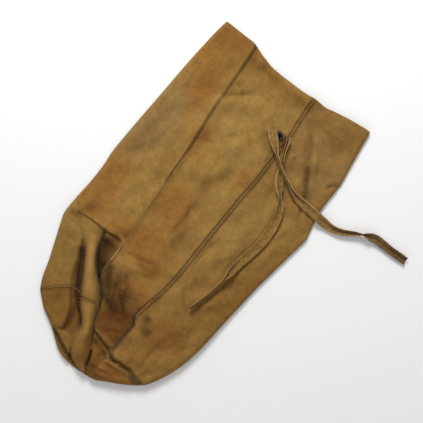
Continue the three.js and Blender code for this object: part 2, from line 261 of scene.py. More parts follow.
sack_tail_route = [
    (0.044, 0.245, 0.0184), (0.050, 0.234, 0.0172), (0.054, 0.224, 0.0164), (0.059, 0.2145, 0.015),
    (0.065, 0.206, 0.01395), (0.071, 0.198, 0.01395), (0.077, 0.188, 0.01395), (0.081, 0.178, 0.01395),
    (0.088, 0.1675, 0.0139), (0.097, 0.157, 0.0138), (0.106, 0.1475, 0.0137), (0.115, 0.137, 0.0136),
    (0.122, 0.126, 0.0134), (0.127, 0.114, 0.0133), (0.1305, 0.100, 0.0132), (0.133, 0.085, 0.0131),
    (0.1345, 0.068, 0.0131), (0.134, 0.048, 0.0133), (0.131, 0.025, 0.0138), (0.127, 0.000, 0.0145),
    (0.125, -0.030, 0.016), (0.122, -0.062, 0.018), (0.117, -0.092, 0.0206), (0.111, -0.121, 0.0248),
]

# %% Build a tail from its route and the lift of its two arms
arm_steps = 5
route_step = 2.5
edge_thinning = 0.55


def tape_tail(name, route, lifts, highlit_edges):
    """Rows of lifts hold a share of the length, then the left and the right arm's lift in degrees.
    Rows of the last table hold a share, then how pale the left and the right edge are, which is a painted
    highlight on an edge that faces the lamp."""
    line = curve(np.array(route) / MM, route_step)
    run = np.gradient(line, axis=0)
    run /= np.linalg.norm(run, axis=1)[:, None]
    across = np.cross(run, (0, 0, 1.0))
    across /= np.linalg.norm(across, axis=1)[:, None]
    up = np.cross(across, run)
    travel = np.r_[0, np.cumsum(np.linalg.norm(np.diff(line, axis=0), axis=1))]
    share = travel / travel[-1]
    lift_of, highlight_of = (
        [np.interp(share, table[:, 0], table[:, side]) for side in (1, 2)]
        for table in (np.array(lifts, float), np.array(highlit_edges, float))
    )
    ring, edge = [], []
    reach = np.linspace(0, 1, arm_steps + 1)
    for skin in (1, -1):
        order = [(-1, r) for r in reach[::-1]] + [(1, r) for r in reach[1:]]
        for hand, r in order if skin > 0 else order[::-1]:
            bend = np.radians(lift_of[int(hand > 0)]) * (0.35 + 0.65 * smooth(0, 0.5, r))
            out = hand * r * tape_width / 2 * np.cos(bend)
            rise = r * tape_width / 2 * np.sin(bend)
            wall = skin * tape_thickness / 2 * (edge_thinning if r == 1 else 1)
            ring.append(
                line
                + across * (out - hand * wall * np.sin(bend))[:, None]
                + up * (rise + wall * np.cos(bend))[:, None]
            )
            # pale tape edges: painted highlight on the edges that face the lamp
            edge.append(highlight_of[int(hand > 0)] * smooth(0.7, 1.0, r))
    around = len(ring)
    points = np.stack(ring, 1)
    faces = grid_faces(len(line), around, round_columns=True)
    faces.append(tuple(range(around))[::-1])
    faces.append(tuple(range((len(line) - 1) * around, len(line) * around)))
    tail = cloth_object(name, points, faces)
    weave = tail.data.attributes.new("along_tape", "FLOAT_VECTOR", "POINT")
    data = np.zeros((len(line), around, 3))
    data[..., 0] = travel[:, None] * MM
    data[..., 1] = np.linspace(0, 1, around)
    data[..., 2] = share[:, None]
    weave.data.foreach_set("vector", data.ravel())
    wear_and_highlight = tail.data.attributes.new("wear_and_highlight", "FLOAT", "POINT")
    wear_and_highlight.data.foreach_set("value", np.stack(edge, 1).astype(np.float32).ravel())
    print(name, "length", round(travel[-1], 1), "mm, stations", len(line))
    return tail, line


floor_tail, floor_line = tape_tail(
    "floor_tail",
    floor_tail_route,
    [(0, 4, 10), (0.05, 10, 20), (0.10, 45, 58), (0.14, 70, 82), (0.18, 72, 88), (0.24, 74, 88),
     (0.30, 72, 82), (0.34, 70, 62), (0.38, 60, 20), (0.43, 40, 8), (0.50, 26, 14), (0.55, 26, 22),
     (0.60, 50, 34), (0.66, 58, 46), (0.71, 64, 60), (0.755, 84, 80), (0.79, 40, 30), (0.83, 16, 34),
     (0.90, 40, 34), (1, 46, 30)],
    [(0, 0.1, 0.5), (0.10, 0.3, 0.6), (0.15, 1, 0.2), (0.24, 1, 0), (0.45, 1, 0), (0.52, 0.3, 0),
     (0.62, 0.3, 0.3), (0.70, 0.5, 0.5), (0.76, 0.4, 0.3), (0.80, 0, 0), (1, 0, 0)],
)
sack_tail, sack_line = tape_tail(
    "sack_tail",
    sack_tail_route,
    [(0, 62, 62), (0.04, 78, 70), (0.09, 84, 72), (0.118, 92, 60), (0.13, 168, 8), (0.16, 165, 8),
     (0.18, 70, 14), (0.22, 42, 22), (0.25, 44, 40), (0.275, 66, 66), (0.295, 76, 76), (0.325, 56, 60),
     (0.37, 46, 40), (0.42, 36, 16), (0.48, 22, 12), (0.58, 14, 18), (0.68, 14, 22), (0.735, 22, 46),
     (0.785, 70, 86), (0.90, 76, 88), (1, 74, 86)],
    [(0, 0.8, 0.1), (0.11, 0.9, 0), (0.15, 0.2, 0.6), (0.20, 0, 1), (0.275, 0, 1), (0.315, 0.9, 0.1),
     (0.46, 0.8, 0), (0.54, 0.1, 0.1), (0.70, 0.1, 0.2), (0.76, 0, 0.9), (0.96, 0, 0.9), (1, 0, 0.5)],
)

# %% [markdown]
# ## The sack's outline and its lines
# Seen from above the empty sack is one long shape with a rounded base. Four lines run its length: the
# left fold, a pressed ridge, the side seam, and the right fold. The base seam crosses them near the end.

# %% Outline, ridge, seams and mouth
left_edge = curve([
    (-128, -280), (-140, -258), (-150, -230), (-165, -195), (-180, -160), (-188, -138), (-189, -100),
    (-188, -60), (-190, -20), (-194, 10), (-195, 60), (-195, 150), (-195, 230), (-193, 300), (-190, 337),
])
right_edge = curve([
    (138, -293.5), (146, -286), (158, -262), (168, -235), (176, -200), (180, -160), (181, -110),
    (183, -60), (185, -10), (191, 60), (196, 118), (193, 130), (188, 150), (182, 172), (180, 190),
    (178, 240), (170, 280), (161, 325), (156, 353),
])
pressed_ridge = curve([
    (0, -268), (-10, -250), (-18, -232), (-28, -215), (-45, -200), (-58, -186), (-60, -160), (-62, -120),
    (-64, -100), (-68, -60), (-72, -20), (-76, 10), (-82, 50), (-86, 90), (-90, 120), (-97, 160),
    (-103, 200), (-108, 250), (-113, 300), (-118, 338),
])
side_seam = curve([
    (52, -290), (53, -250), (53, -215), (45, -200), (45, -188), (48, -160), (53, -130), (55, -90),
    (54, -50), (52, 0), (51, 50), (50, 100), (50, 150), (47, 198), (46, 240), (42, 262), (38, 290),
    (35, 315), (34, 333),
])
mouth_line = curve([
    (-190, 337), (-150, 338), (-120, 338), (-90, 330), (-57, 326), (0, 329), (36, 333), (60, 334),
    (80, 340), (110, 347), (150, 354), (156, 353),
])
base_seam = curve([
    (-128, -280), (-118, -269), (-105, -255), (-90, -242), (-78, -236), (-62, -235), (-45, -233),
    (-24, -227), (-14, -240), (-5, -260), (4, -268), (25, -273), (50, -279), (62, -287), (85, -288),
    (105, -286), (114, -290), (128, -292), (138, -293.5),
])
base_fold = curve([
    (-128, -280), (-100, -302), (-80, -312), (-60, -323), (-30, -343), (-10, -350), (20, -351), (60, -345),
    (80, -334), (110, -316), (130, -301), (138, -293.5),
])


def x_on(line, y):
    order = np.argsort(line[:, 1], kind="stable")
    return np.interp(y, line[order, 1], line[order, 0])


def y_on(line, x):
    order = np.argsort(line[:, 0], kind="stable")
    return np.interp(x, line[order, 0], line[order, 1])


def shifted(line, dx):
    return line + np.array([dx, 0])


# %% [markdown]
# ## How high the cloth lies
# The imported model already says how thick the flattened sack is. Its upper side is sampled by dropping
# rays on a coarse grid, softened, and used as the height from which every fold is raised or sunk.

# %% Soften a grid of heights, and read it between its points
def blurred(grid, times):
    for _ in range(times):
        wide = np.pad(grid, 1, mode="edge")
        grid = (wide[1:-1, :-2] + wide[1:-1, 2:] + 2 * grid) / 4
        wide = np.pad(grid, 1, mode="edge")
        grid = (wide[:-2, 1:-1] + wide[2:, 1:-1] + 2 * grid) / 4
    return grid


def read_between(grid, xs, ys):
    """A function of x and y that goes evenly between the grid's four nearest points."""
    step = xs[1] - xs[0]

    def value(x, y):
        u = np.clip((x - xs[0]) / step, 0, len(xs) - 1.001)
        v = np.clip((y - ys[0]) / step, 0, len(ys) - 1.001)
        i, j = v.astype(int), u.astype(int)
        s, t = u - j, v - i
        low = grid[i, j] * (1 - s) + grid[i, j + 1] * s
        high = grid[i + 1, j] * (1 - s) + grid[i + 1, j + 1] * s
        return low * (1 - t) + high * t

    return value


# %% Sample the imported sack's upper side
in_from_side, in_from_base, in_from_mouth = 14, 16, 330
height_of_a_miss = 8.0


def packed_heights(names, step=6.0, blur=2):
    points, faces = [], []
    for name in names:
        mesh = nodes[name].data
        faces += [[v + len(points) for v in p.vertices] for p in mesh.polygons]
        points += [v.co for v in mesh.vertices]
    tree = BVHTree.FromPolygons(points, faces)
    xs, ys = np.arange(-210, 211, step), np.arange(-366, 367, step)
    heights = np.zeros((len(ys), len(xs)))
    for i, y in enumerate(ys):
        for j, x in enumerate(xs):
            inner_y = min(max(y, y_on(base_fold, x) + in_from_base), in_from_mouth)
            left, right = x_on(left_edge, inner_y) + in_from_side, x_on(right_edge, inner_y) - in_from_side
            hit = tree.ray_cast((min(max(x, left), right) * MM, inner_y * MM, 0.3), (0, 0, -1))[0]
            heights[i, j] = hit.z / MM if hit else height_of_a_miss
    return read_between(blurred(heights, blur), xs, ys)


packed_top = packed_heights(("body_panel", "base_panel"))
print("packed top at the middle", round(float(packed_top(np.array(0.0), np.array(0.0))), 1), "mm")

# %% [markdown]
# ## The folds at the base end
# When the sack was laid down its base end collapsed. The cloth above a lip lies over a sunken band; a
# thick round pleat runs down to the right with a dark slit on its left and a pit on its right; a thin edge
# stands up beside the pit, and a square panel sinks between the pleat and the side seam. The pleat is a
# half ellipse between its two edges, and the others are soft steps from one height to another.

# %% Lines of the folds
lip_and_pit = [
    (-215, -138), (-190, -132), (-172, -121), (-150, -117), (-130, -114), (-110, -112), (-92, -110),
    (-80, -108), (-71, -109), (-66, -118), (-62, -150), (-60, -178), (-45, -200), (-28, -215),
    (-18, -232), (-10, -250), (0, -270), (15, -295), (28, -315), (36, -340), (36, -380), (-215, -380),
]
left_panel = [
    (-215, -146), (-188, -143), (-165, -139), (-150, -137), (-141, -141), (-126, -158), (-115, -178),
    (-106, -200), (-97, -220), (-86, -238), (-73, -254), (-60, -270), (-50, -290), (-47, -309),
    (-62, -316), (-80, -330), (-215, -380),
]
bottom_layer = [
    (-64, -317), (-46, -311), (-30, -309), (-15, -310), (-12, -325), (-2, -340), (4, -352), (-40, -352),
    (-70, -330),
]
pleat_left = curve([
    (-142, -136), (-120, -156), (-104, -176), (-90, -196), (-75, -218), (-62, -237), (-50, -254),
    (-38, -265), (-27, -277), (-20, -300), (-11, -325), (6, -343), (34, -350),
])
pleat_right = curve([
    (-106, -112), (-95, -142), (-80, -166), (-62, -185), (-45, -200), (-28, -215), (-18, -232), (-10, -250),
    (0, -270), (15, -295), (28, -315), (38, -334), (58, -342),
])
lip = curve([(-178, -125), (-172, -121), (-150, -117), (-130, -114), (-110, -112), (-92, -110), (-80, -108)])
thin_edge = curve([(-67, -100), (-64, -115), (-61, -135), (-60, -155), (-58, -178)])


def drawn(rows):
    """Make the given points that start a row into a smooth line. A ready line stays as it is."""
    return [(curve(points) if isinstance(points, list) else points, *rest) for points, *rest in rows]


# Valleys (depth above 0) and ridges (below 0): the line, its depth, its half width
small_folds = drawn([
    ([(-54, -150), (-40, -178), (-24, -202)], 5.0, 6.0),
    ([(-26, -172), (-12, -196), (2, -222)], 4.0, 3.5),
    ([(-2, -184), (12, -200), (28, -214)], 4.5, 4.5),
    ([(-14, -168), (4, -190), (16, -206)], -3.0, 4.0),
    ([(66, 5), (63, -40), (76, -92), (102, -128)], 2.4, 3.5),
    ([(112, -112), (118, -140), (134, -168)], 1.8, 4.0),
    ([(120, -175), (114, -235), (118, -285)], 3.0, 6.0),
    ([(66, 286), (98, 238), (136, 182)], 5.0, 6.5),
    ([(76, 292), (108, 246), (146, 190)], -3.0, 7.0),
    ([(70, 303), (92, 297), (114, 287)], 2.4, 3.5),
    ([(132, 172), (150, 158), (157, 140)], 2.6, 4.0),
    ([(157, 220), (168, 232), (183, 240)], 4.5, 3.2),
    ([(160, 120), (176, 126), (194, 124)], 2.6, 5.0),
    ([(-10, 248), (2, 222), (22, 204)], 2.0, 4.0),
    ([(-104, 222), (-88, 240), (-62, 262)], 3.6, 3.6),
    ([(-100, 262), (-84, 256), (-66, 240)], 1.6, 4.0),
    ([(-140, 60), (-136, 110), (-128, 160)], 1.6, 5.0),
    ([(-90, 128), (-78, 138), (-64, 146)], 2.0, 4.0),
    ([(-88, 108), (-74, 104), (-62, 98)], 1.6, 3.5),
    ([(70, 92), (92, 98), (116, 92)], 1.0, 4.0),
    ([(-12, 24), (-6, 0), (-8, -26)], 1.0, 3.5),
    ([(-56, -122), (-20, -114), (10, -104)], 2.6, 5.0),
    ([(-52, -138), (-16, -132), (20, -122)], -1.6, 6.0),
    ([(2, -267), (25, -272), (52, -278)], -4.0, 4.0),
    ([(52, -283), (60, -289), (68, -291), (78, -286), (90, -287), (100, -285), (109, -289), (122, -296),
      (136, -298)], 6.0, 3.6),
    ([(40, -305), (60, -298), (85, -295), (100, -292), (116, -297), (133, -303)], -3.5, 3.5),
    ([(10, -284), (30, -292), (52, -294)], 6.0, 6.0),
    ([(20, -303), (27, -317), (33, -334)], 9.0, 3.6),
    ([(36, -330), (56, -324), (80, -317)], 2.5, 4.5),
    ([(-60, -318), (-20, -335), (14, -345)], 6.0, 3.6),
    ([(-22, -268), (-20, -284), (-23, -300)], -4.0, 3.0),
    ([(-150, -170), (-138, -205), (-122, -235)], 1.6, 5.0),
    ([(-192, -15), (-184, -62), (-176, -110)], 2.6, 2.6),
    ([(20, -150), (40, -140), (60, -120)], 1.6, 7.0),
    ([(-112, -98), (-88, -97), (-70, -100), (-52, -108)], 4.5, 8.0),
    ([(-58, -128), (-36, -142), (-24, -164), (-14, -184)], 2.6, 2.6),
    ([(-44, -126), (-20, -136), (-6, -152)], 1.6, 3.0),
    ([(-24, -150), (-4, -164), (4, -180), (20, -186)], 3.6, 2.8),
    ([(-40, -165), (-26, -182), (-14, -204)], -2.4, 3.0),
    ([(-30, -190), (-16, -208), (-8, -224)], 4.2, 2.6),
    ([(-12, -176), (4, -186), (18, -196)], 3.8, 2.6),
    ([(-4, -206), (8, -216), (24, -222)], 3.6, 2.6),
    ([(0, -214), (20, -224), (44, -226)], -2.0, 3.0),
    ([(18, -262), (30, -250), (46, -246)], 1.6, 4.0),
    ([(64, -182), (72, -196), (68, -214)], 1.6, 3.0),
    ([(78, -186), (88, -200), (84, -216)], 1.4, 3.0),
    ([(100, -140), (118, -156), (140, -162)], 1.6, 4.0),
    ([(126, -200), (146, -210), (164, -206)], 1.4, 5.0),
    ([(88, -250), (96, -266), (92, -280)], 2.0, 4.0),
    ([(62, -230), (72, -252), (68, -276)], 1.6, 4.0),
    ([(60, -300), (78, -308), (100, -306)], 1.8, 3.0),
    ([(44, -312), (58, -316), (76, -308)], -1.6, 3.5),
    ([(46, -338), (66, -334), (84, -326)], 1.8, 3.0),
    ([(-104, -288), (-90, -296), (-72, -296)], 1.8, 4.0),
    ([(-74, -276), (-66, -292), (-66, -308)], 1.8, 4.0),
    ([(-140, -230), (-124, -236), (-106, -230)], 1.2, 4.0),
    ([(-164, -160), (-150, -170), (-134, -168)], 1.4, 4.0),
    ([(-118, 60), (-112, 100), (-116, 140)], 1.2, 5.0),
    ([(-170, 40), (-160, 90), (-164, 150)], 1.6, 8.0),
    ([(-176, 170), (-164, 200), (-170, 240)], 1.4, 6.0),
    ([(-60, 176), (-48, 190), (-40, 206)], 1.2, 4.0),
    ([(-52, 168), (-34, 180), (-22, 180)], 1.2, 4.0),
    ([(-50, 60), (-30, 70), (-10, 64)], 1.0, 5.0),
    ([(60, 96), (72, 84), (76, 66)], 1.0, 4.0),
    ([(146, 60), (160, 90), (176, 104)], 1.4, 6.0),
    ([(150, -40), (162, -10), (164, 30)], 1.4, 7.0),
    ([(86, 330), (96, 316), (112, 308)], 1.4, 4.0),
    ([(-80, 322), (-64, 312), (-44, 310)], 1.2, 4.0),
    ([(-40, -90), (-10, -60), (0, -20)], 1.2, 12.0),
    ([(-30, 90), (-10, 150), (-20, 210)], -1.4, 16.0),
    ([(90, 120), (100, 40), (84, -40)], -1.6, 14.0),
])


# %% Height of the cloth over any point
end_sinks_to = 0.84
seam_panel = 11.5
hollow_floor = 5.5
left_panel_top = 15.5
bottom_layer_top = 14.0
pleat_foot, pleat_crest, pleat_falls = 6, 34, 13


def folds(x, y):
    """Height of the upper cloth's outer face, in millimetres."""
    z = packed_top(x, y)
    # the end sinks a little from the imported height
    z = z * mix(1.0, end_sinks_to, smooth(-120, -200, y))
    # pressed ridge: the left side lies over the right near the mouth, and is a low crease further down
    side, _ = beside(pressed_ridge, x, y)
    over = smooth(60, 150, y)
    lift = mix(2.4, 3.8, over) * smooth(-112, -60, y)
    z = z + lift * np.exp(-np.clip(side, 0, 999) / mix(10, 20, over)) * smooth(-1.0, 1.0, side)
    z = z - 1.8 * smooth(-112, -60, y) * bell(side + 5.0, 4.5)
    # the cloth between ridge and seam slopes down to a sunken panel above the base seam
    sunk = smooth(-150, -214, y) * smooth(2.5, -2.0, x - x_on(side_seam, y)) * smooth(-70, -40, x)
    z = mix(z, seam_panel + 0.06 * np.abs(x - 16), sunk)
    # everything under the lip and beside the pleat, with two shelves just below the lip
    from_right, along = beside(pleat_right, x, y)
    from_right = -from_right
    floor = hollow_floor + 12.0 * smooth(-2, -36, from_right) * smooth(-110, -124, y)
    under_lip = within(lip_and_pit, x, y, 2.2)
    floor = floor + 8.0 * smooth(-182, -148, y) * smooth(-85, -112, x)
    left_shelf = smooth(-104, -124, x) * smooth(-160, -142, y)
    corner_shelf = 0.8 * smooth(-108, -96, x) * smooth(-134, -118, y)
    floor = mix(floor, z - mix(1.2, 5.0, smooth(-188, -124, x)), left_shelf)
    floor = mix(floor, z - 3.5, corner_shelf)
    z = mix(z, floor, under_lip)
    panel = left_panel_top - 7 * smooth(-95, -170, x) * smooth(-150, -190, y) - 2.5 * smooth(-152, -139, y)
    z = mix(z, panel, within(left_panel, x, y, 2.4))
    z = mix(z, bottom_layer_top, within(bottom_layer, x, y, 2.2))
    for line, deep, wide in small_folds:
        gap, share = beside(line, x, y)
        z = z - deep * bell(gap, wide) * faded(share, 0.2)
    # the round pleat, with one soft crease along it
    from_left, _ = beside(pleat_left, x, y)
    inside = (from_left > 0) & (from_right > 0) & (under_lip > 0.02)
    share = np.where(inside, from_left / np.maximum(from_left + from_right, 0.1), 0)
    arch = np.sin(math.pi * share) ** 0.62
    crest = mix(bottom_layer_top, pleat_crest, smooth(0, 0.22, along)) - pleat_falls * smooth(0.55, 1, along)
    crease = 1.5 * bell(share - 0.42, 0.09) * smooth(0.1, 0.3, along)
    z = np.where(inside, np.maximum(z, pleat_foot + (crest - pleat_foot) * arch - crease), z)
    # the thin upstanding edge between the pit and the cloth to its right
    gap, share = beside(thin_edge, x, y)
    return z + (4 + 5 * share) * bell(gap - 1, 2.2) * smooth(0, 0.2, share) * smooth(1, 0.93, share)


def under_the_tape(x, y, z):
    """Press the cloth flat just below a tail that lies on it."""
    for line in (floor_line[::3], sack_line[::3]):
        gap, share = beside(line, x, y)
        tape_z = np.interp(share, np.linspace(0, 1, len(line)), line[:, 2])
        rest = tape_z - tape_thickness / 2 - 0.3
        z = mix(z, np.minimum(z, rest), smooth(24, 11, np.abs(gap)))
    return z


wave_count, wave_height = 26, 0.9


def wrinkles(x, y):
    """Slow waves of old, often folded cloth."""
    rng = np.random.default_rng(11)
    z = np.zeros_like(x)
    for _ in range(wave_count):
        angle = rng.uniform(0, math.pi)
        length = rng.uniform(28, 95)
        phase = rng.uniform(0, 2 * math.pi)
        bend = rng.uniform(60, 160)
        along = x * math.cos(angle) + y * math.sin(angle)
        off = y * math.cos(angle) - x * math.sin(angle)
        z += np.sin(2 * math.pi * (along + 9 * np.sin(off / bend + phase)) / length + phase) * length / 95
    return z * wave_height


# %% [markdown]
# ## Where dirt and painted shade settle, and where cloth rubs bare or takes painted highlight
# A sack picks up dirt in its hollows and along its seams, and its standing edges rub pale. The dark mark is
# also painted shade, in the hollows, under the lip, in the slit and the pit, and beside ridges, seams and
# tapes; the pale mark is also painted highlight on raised and lit edges. The height of the cloth against the
# average height around it tells hollows from edges. Both are kept on the mesh as attributes, so that the
# finish can read them.

# %% Hollows and edges from the fold heights
def hollow_map(step=3.0, blur=22):
    xs, ys = np.arange(-213, 214, step), np.arange(-369, 370, step)
    around = read_between(blurred(folds(*np.meshgrid(xs, ys)), blur), xs, ys)
    return lambda x, y: around(x, y) - folds(x, y)


hollow = hollow_map()

# Dark lines of dirt and of painted shade (under the lip, in the slit and the pit, beside ridges, seam walls
# and tapes): the line, how dark it is, its half width
dirt_and_shade_lines = drawn([
    ([(-166, -121), (-130, -116), (-108, -114)], 0.75, 2.0),
    ([(-108, -114), (-92, -112), (-80, -110)], 0.5, 1.6),
    ([(-176, -128), (-150, -126), (-124, -124), (-112, -122)], 0.42, 7.0),
    ([(-112, -117), (-100, -122), (-92, -132)], 0.6, 5.5),
    ([(-126, -156), (-116, -170)], 0.8, 3.0),
    ([(-117, -168), (-104, -189), (-94, -204)], 1.0, 6.5),
    ([(-100, -196), (-89, -212), (-76, -230), (-66, -244)], 1.0, 9.5),
    ([(-68, -242), (-56, -254), (-44, -264)], 1.0, 5.0),
    ([(-58, -256), (-50, -276), (-44, -296)], 0.62, 8.0),
    ([(-104, -118), (-94, -145), (-79, -167), (-61, -185), (-44, -200), (-27, -215)], 0.95, 5.5),
    ([(-92, -130), (-82, -150), (-68, -170)], 0.72, 15.0),
    ([(-50, -190), (-30, -206), (-12, -214), (4, -218)], 0.70, 9.0),
    ([(-128, -280), (-118, -269), (-105, -255), (-90, -242), (-78, -236)], 0.55, 1.8),
    ([(-62, -250), (-54, -272), (-48, -290), (-45, -308)], 0.7, 3.4),
    ([(-60, -150), (-59, -165), (-57, -180)], 0.7, 3.0),
    ([(-52, -160), (-38, -184), (-22, -206)], 0.55, 6.0),
    ([(-4, -188), (12, -202), (28, -215)], 0.45, 5.0),
    ([(53, -212), (53, -250), (52, -285)], 0.75, 2.6),
    ([(2, -272), (25, -277), (50, -283)], 0.7, 2.8),
    ([(56, -288), (68, -291), (78, -286), (90, -287), (102, -285), (112, -291)], 0.58, 3.0),
    ([(100, -284), (118, -287), (138, -290)], 0.45, 1.6),
    ([(108, -294), (122, -300), (132, -303)], 0.6, 2.0),
    ([(38, -301), (60, -293)], 0.5, 4.0),
    ([(22, -305), (28, -318), (33, -331)], 0.9, 3.2),
    ([(-58, -320), (-20, -336), (12, -345)], 0.85, 4.0),
    ([(74, 278), (101, 236), (120, 208)], 0.36, 3.6),
    ([(110, 224), (128, 198), (140, 180)], 0.72, 6.5),
    ([(160, 222), (170, 232), (182, 239)], 0.5, 2.4),
    ([(132, 172), (150, 158), (157, 140)], 0.45, 2.6),
    ([(36, 242), (44, 241), (47, 234), (47, 226)], 0.75, 4.0),
    ([(46, 203), (45, 194), (46, 186)], 0.75, 3.4),
    ([(34, 206), (38, 194), (40, 182)], 0.34, 5.0),
    ([(6, 224), (18, 210), (34, 200)], 0.3, 5.0),
    ([(66, 0), (64, -42), (78, -94), (102, -127)], 0.28, 2.2),
    (shifted(pressed_ridge, 6.0)[42:], 0.20, 7.0),
    ([(-103, 224), (-88, 240), (-62, 262)], 0.30, 2.4),
    ([(-100, 262), (-84, 256), (-66, 240)], 0.22, 2.4),
    ([(-92, 128), (-78, 138), (-64, 146)], 0.30, 3.0),
    (shifted(pressed_ridge, -3.2)[20:66], 0.30, 1.6),
    (shifted(pressed_ridge, 1.8)[84:], 0.22, 1.6),
    (shifted(side_seam, -3.4)[22:], 0.75, 1.7),
    (shifted(side_seam, 3.4)[22:], 0.60, 1.7),
    (side_seam[22:], 0.38, 4.0),
    ([(-190, -20), (-184, -62), (-177, -108)], 0.45, 2.4),
    ([(-12, 26), (-7, 0), (-9, -24)], 0.25, 3.0),
    (shifted(sack_line[sack_line[:, 1] < 110, :2], 11.0), 0.40, 2.2),
    (shifted(sack_line[(sack_line[:, 1] < 110) & (sack_line[:, 1] > -30), :2], -11.0), 0.30, 2.0),
])

# Pale worn edges and painted highlights on the lit side of ridges and standing edges, in the same way
worn_and_highlit_lines = drawn([
    (pressed_ridge[20:84], 0.75, 1.8),
    (shifted(pressed_ridge, -2.5)[84:], 0.6, 2.4),
    (shifted(thin_edge, 0.5), 0.9, 1.8),
    ([(-80, -105), (-72, -103), (-67, -110)], 0.8, 1.8),
    ([(2, -265), (25, -270), (50, -276)], 0.6, 2.0),
    ([(70, 298), (92, 293), (114, 283)], 0.4, 2.0),
])


def mark_dirt_shade_wear_and_highlight(piece):
    place = np.zeros(len(piece.data.vertices) * 3)
    piece.data.vertices.foreach_get("co", place)
    x, y, z = place.reshape(-1, 3).T / MM
    deep = hollow(x, y)
    # the dark mark: dirt, and painted shade in the hollows and along the listed lines, kept lighter at the
    # corner of the lip
    less_dark_corner = 1 - 0.75 * np.exp(-(((x + 74) / 16) ** 2) - ((y + 114) / 9) ** 2)
    dirt_and_shade = 0.95 * smooth(1.0, 10.0, deep) * less_dark_corner
    for line, amount, wide in dirt_and_shade_lines:
        dirt_and_shade = np.maximum(dirt_and_shade, amount * bell(beside(line, x, y)[0], wide))
    from_left, from_right = beside(pleat_left, x, y)[0], -beside(pleat_right, x, y)[0]
    dirt_and_shade = dirt_and_shade * (1 - 0.8 * smooth(1.5, 6.5, np.minimum(from_left, from_right)))
    # the pale mark: wear, and painted highlight on raised cloth and lit edges
    wear_and_highlight = smooth(1.5, 8.0, -deep)
    for line, amount, wide in worn_and_highlit_lines:
        gap, share = beside(line, x, y)
        wear_and_highlight = np.maximum(wear_and_highlight, amount * bell(gap, wide) * faded(share, 0.1))
    upper = smooth(1.2, 2.0, z)
    for name, value in (("dirt_and_shade", dirt_and_shade * upper), ("wear_and_highlight", wear_and_highlight * upper)):
        piece.data.attributes.new(name, "FLOAT", "POINT").data.foreach_set("value", value.astype(np.float32))


# %% [markdown]
# ## Body panel
# One sheet of duck closed into a tube. Its grid runs round the tube and from the base seam to the mouth,
# and its columns follow the ridge and the seam, so those folds stay crisp. Past the mouth the grid turns
# in and runs back down inside as the hem.

# %% Columns and rows of the body grid
ridge_reach, seam_reach = 3.0, 6.0
side_lines = (
    left_edge, shifted(pressed_ridge, -ridge_reach), shifted(pressed_ridge, ridge_reach),
    shifted(side_seam, -seam_reach), shifted(side_seam, seam_reach), right_edge,
)
ridge_columns, columns_under = 7, 34
row_levels = np.concatenate([
    np.arange(-265, -92, 2.0), np.arange(-92, 330, 4.4), np.array([330.5, 332.5, 334.0, 334.7]),
])


def crowded(n, near_start=0.0, near_end=0.0):
    """n shares from 0 up to 1, with points closer together near the start or the end."""
    p = np.arange(n) / n
    p = mix(p, p * p, near_start)
    return mix(p, 1 - (1 - p) ** 2, near_end)


def grid_place(levels, shares, lines, first, last, reach=(120, 100)):
    """x and y of a grid whose columns run between lines and whose rows bend to its two ends."""
    y = np.repeat(levels[:, None], len(shares), 1)
    x = np.zeros_like(y)
    for _ in range(4):
        stops = np.stack([x_on(line, y) for line in lines], -1)
        k = np.minimum(shares.astype(int), len(lines) - 2)
        part = shares - k
        low = np.take_along_axis(stops, np.broadcast_to(k, y.shape)[..., None], -1)[..., 0]
        high = np.take_along_axis(stops, np.broadcast_to(k + 1, y.shape)[..., None], -1)[..., 0]
        x = mix(low, high, part)
        level = levels[:, None]
        y = (
            level
            + (y_on(first, x[0])[None, :] - levels[0]) * smooth(levels[0] + reach[0], levels[0], level)
            + (y_on(last, x[-1])[None, :] - levels[-1]) * smooth(levels[-1] - reach[1], levels[-1], level)
        )
    return x, y


top_shares = np.concatenate([
    crowded(42, near_start=0.6),
    1 + crowded(ridge_columns),
    2 + crowded(50),
    3 + crowded(10),
    4 + crowded(44, near_end=0.6),
    [5.0],
])
top_x, top_y = grid_place(row_levels, top_shares, side_lines, base_seam, mouth_line)
under_part = crowded(columns_under, near_start=0.6, near_end=0.6)[1:]
under_x, under_y = grid_place(row_levels, 1 - under_part, (left_edge, right_edge), base_seam, mouth_line)


# %% Heights of the upper and lower cloth, joined by a round fold at each side
edge_height = 3.6
under_fold_reach = 5.0
eyelet_low, eyelet_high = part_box("eyelet_barrel")
eyelet_x, eyelet_y = (eyelet_low.x + eyelet_high.x) / 2 / MM, (eyelet_low.y + eyelet_high.y) / 2 / MM


def rounded(gap, reach):
    return np.sqrt(np.clip(1 - (1 - np.clip(gap / reach, 0, 1)) ** 2, 0, 1))


def upper_height(x, y, gap):
    near_eyelet = np.hypot(x - eyelet_x, y - eyelet_y)
    z = folds(x, y)
    z = z + wrinkles(x, y) * smooth(4, 30, gap) * smooth(14, 45, near_eyelet) * smooth(6, 13, z)
    seam_gap = np.abs(beside(side_seam, x, y)[0])
    z = z + seam_rise * smooth(seam_width / 2 + 0.7, seam_width / 2 - 0.7, seam_gap)
    z = under_the_tape(x, y, z)
    return mix(edge_height, z, rounded(gap, 6 + 0.35 * np.clip(z, 0, 40)))


def lower_height(x, y, gap):
    wave = 0.5 + 0.45 * np.sin(x / 31 + 1.3 * np.sin(y / 47))
    return mix(edge_height, wave, rounded(gap, under_fold_reach))


top_gap = np.minimum(top_x - x_on(left_edge, top_y), x_on(right_edge, top_y) - top_x)
under_gap = np.minimum(under_x - x_on(left_edge, under_y), x_on(right_edge, under_y) - under_x)
top_z = upper_height(top_x, top_y, top_gap)

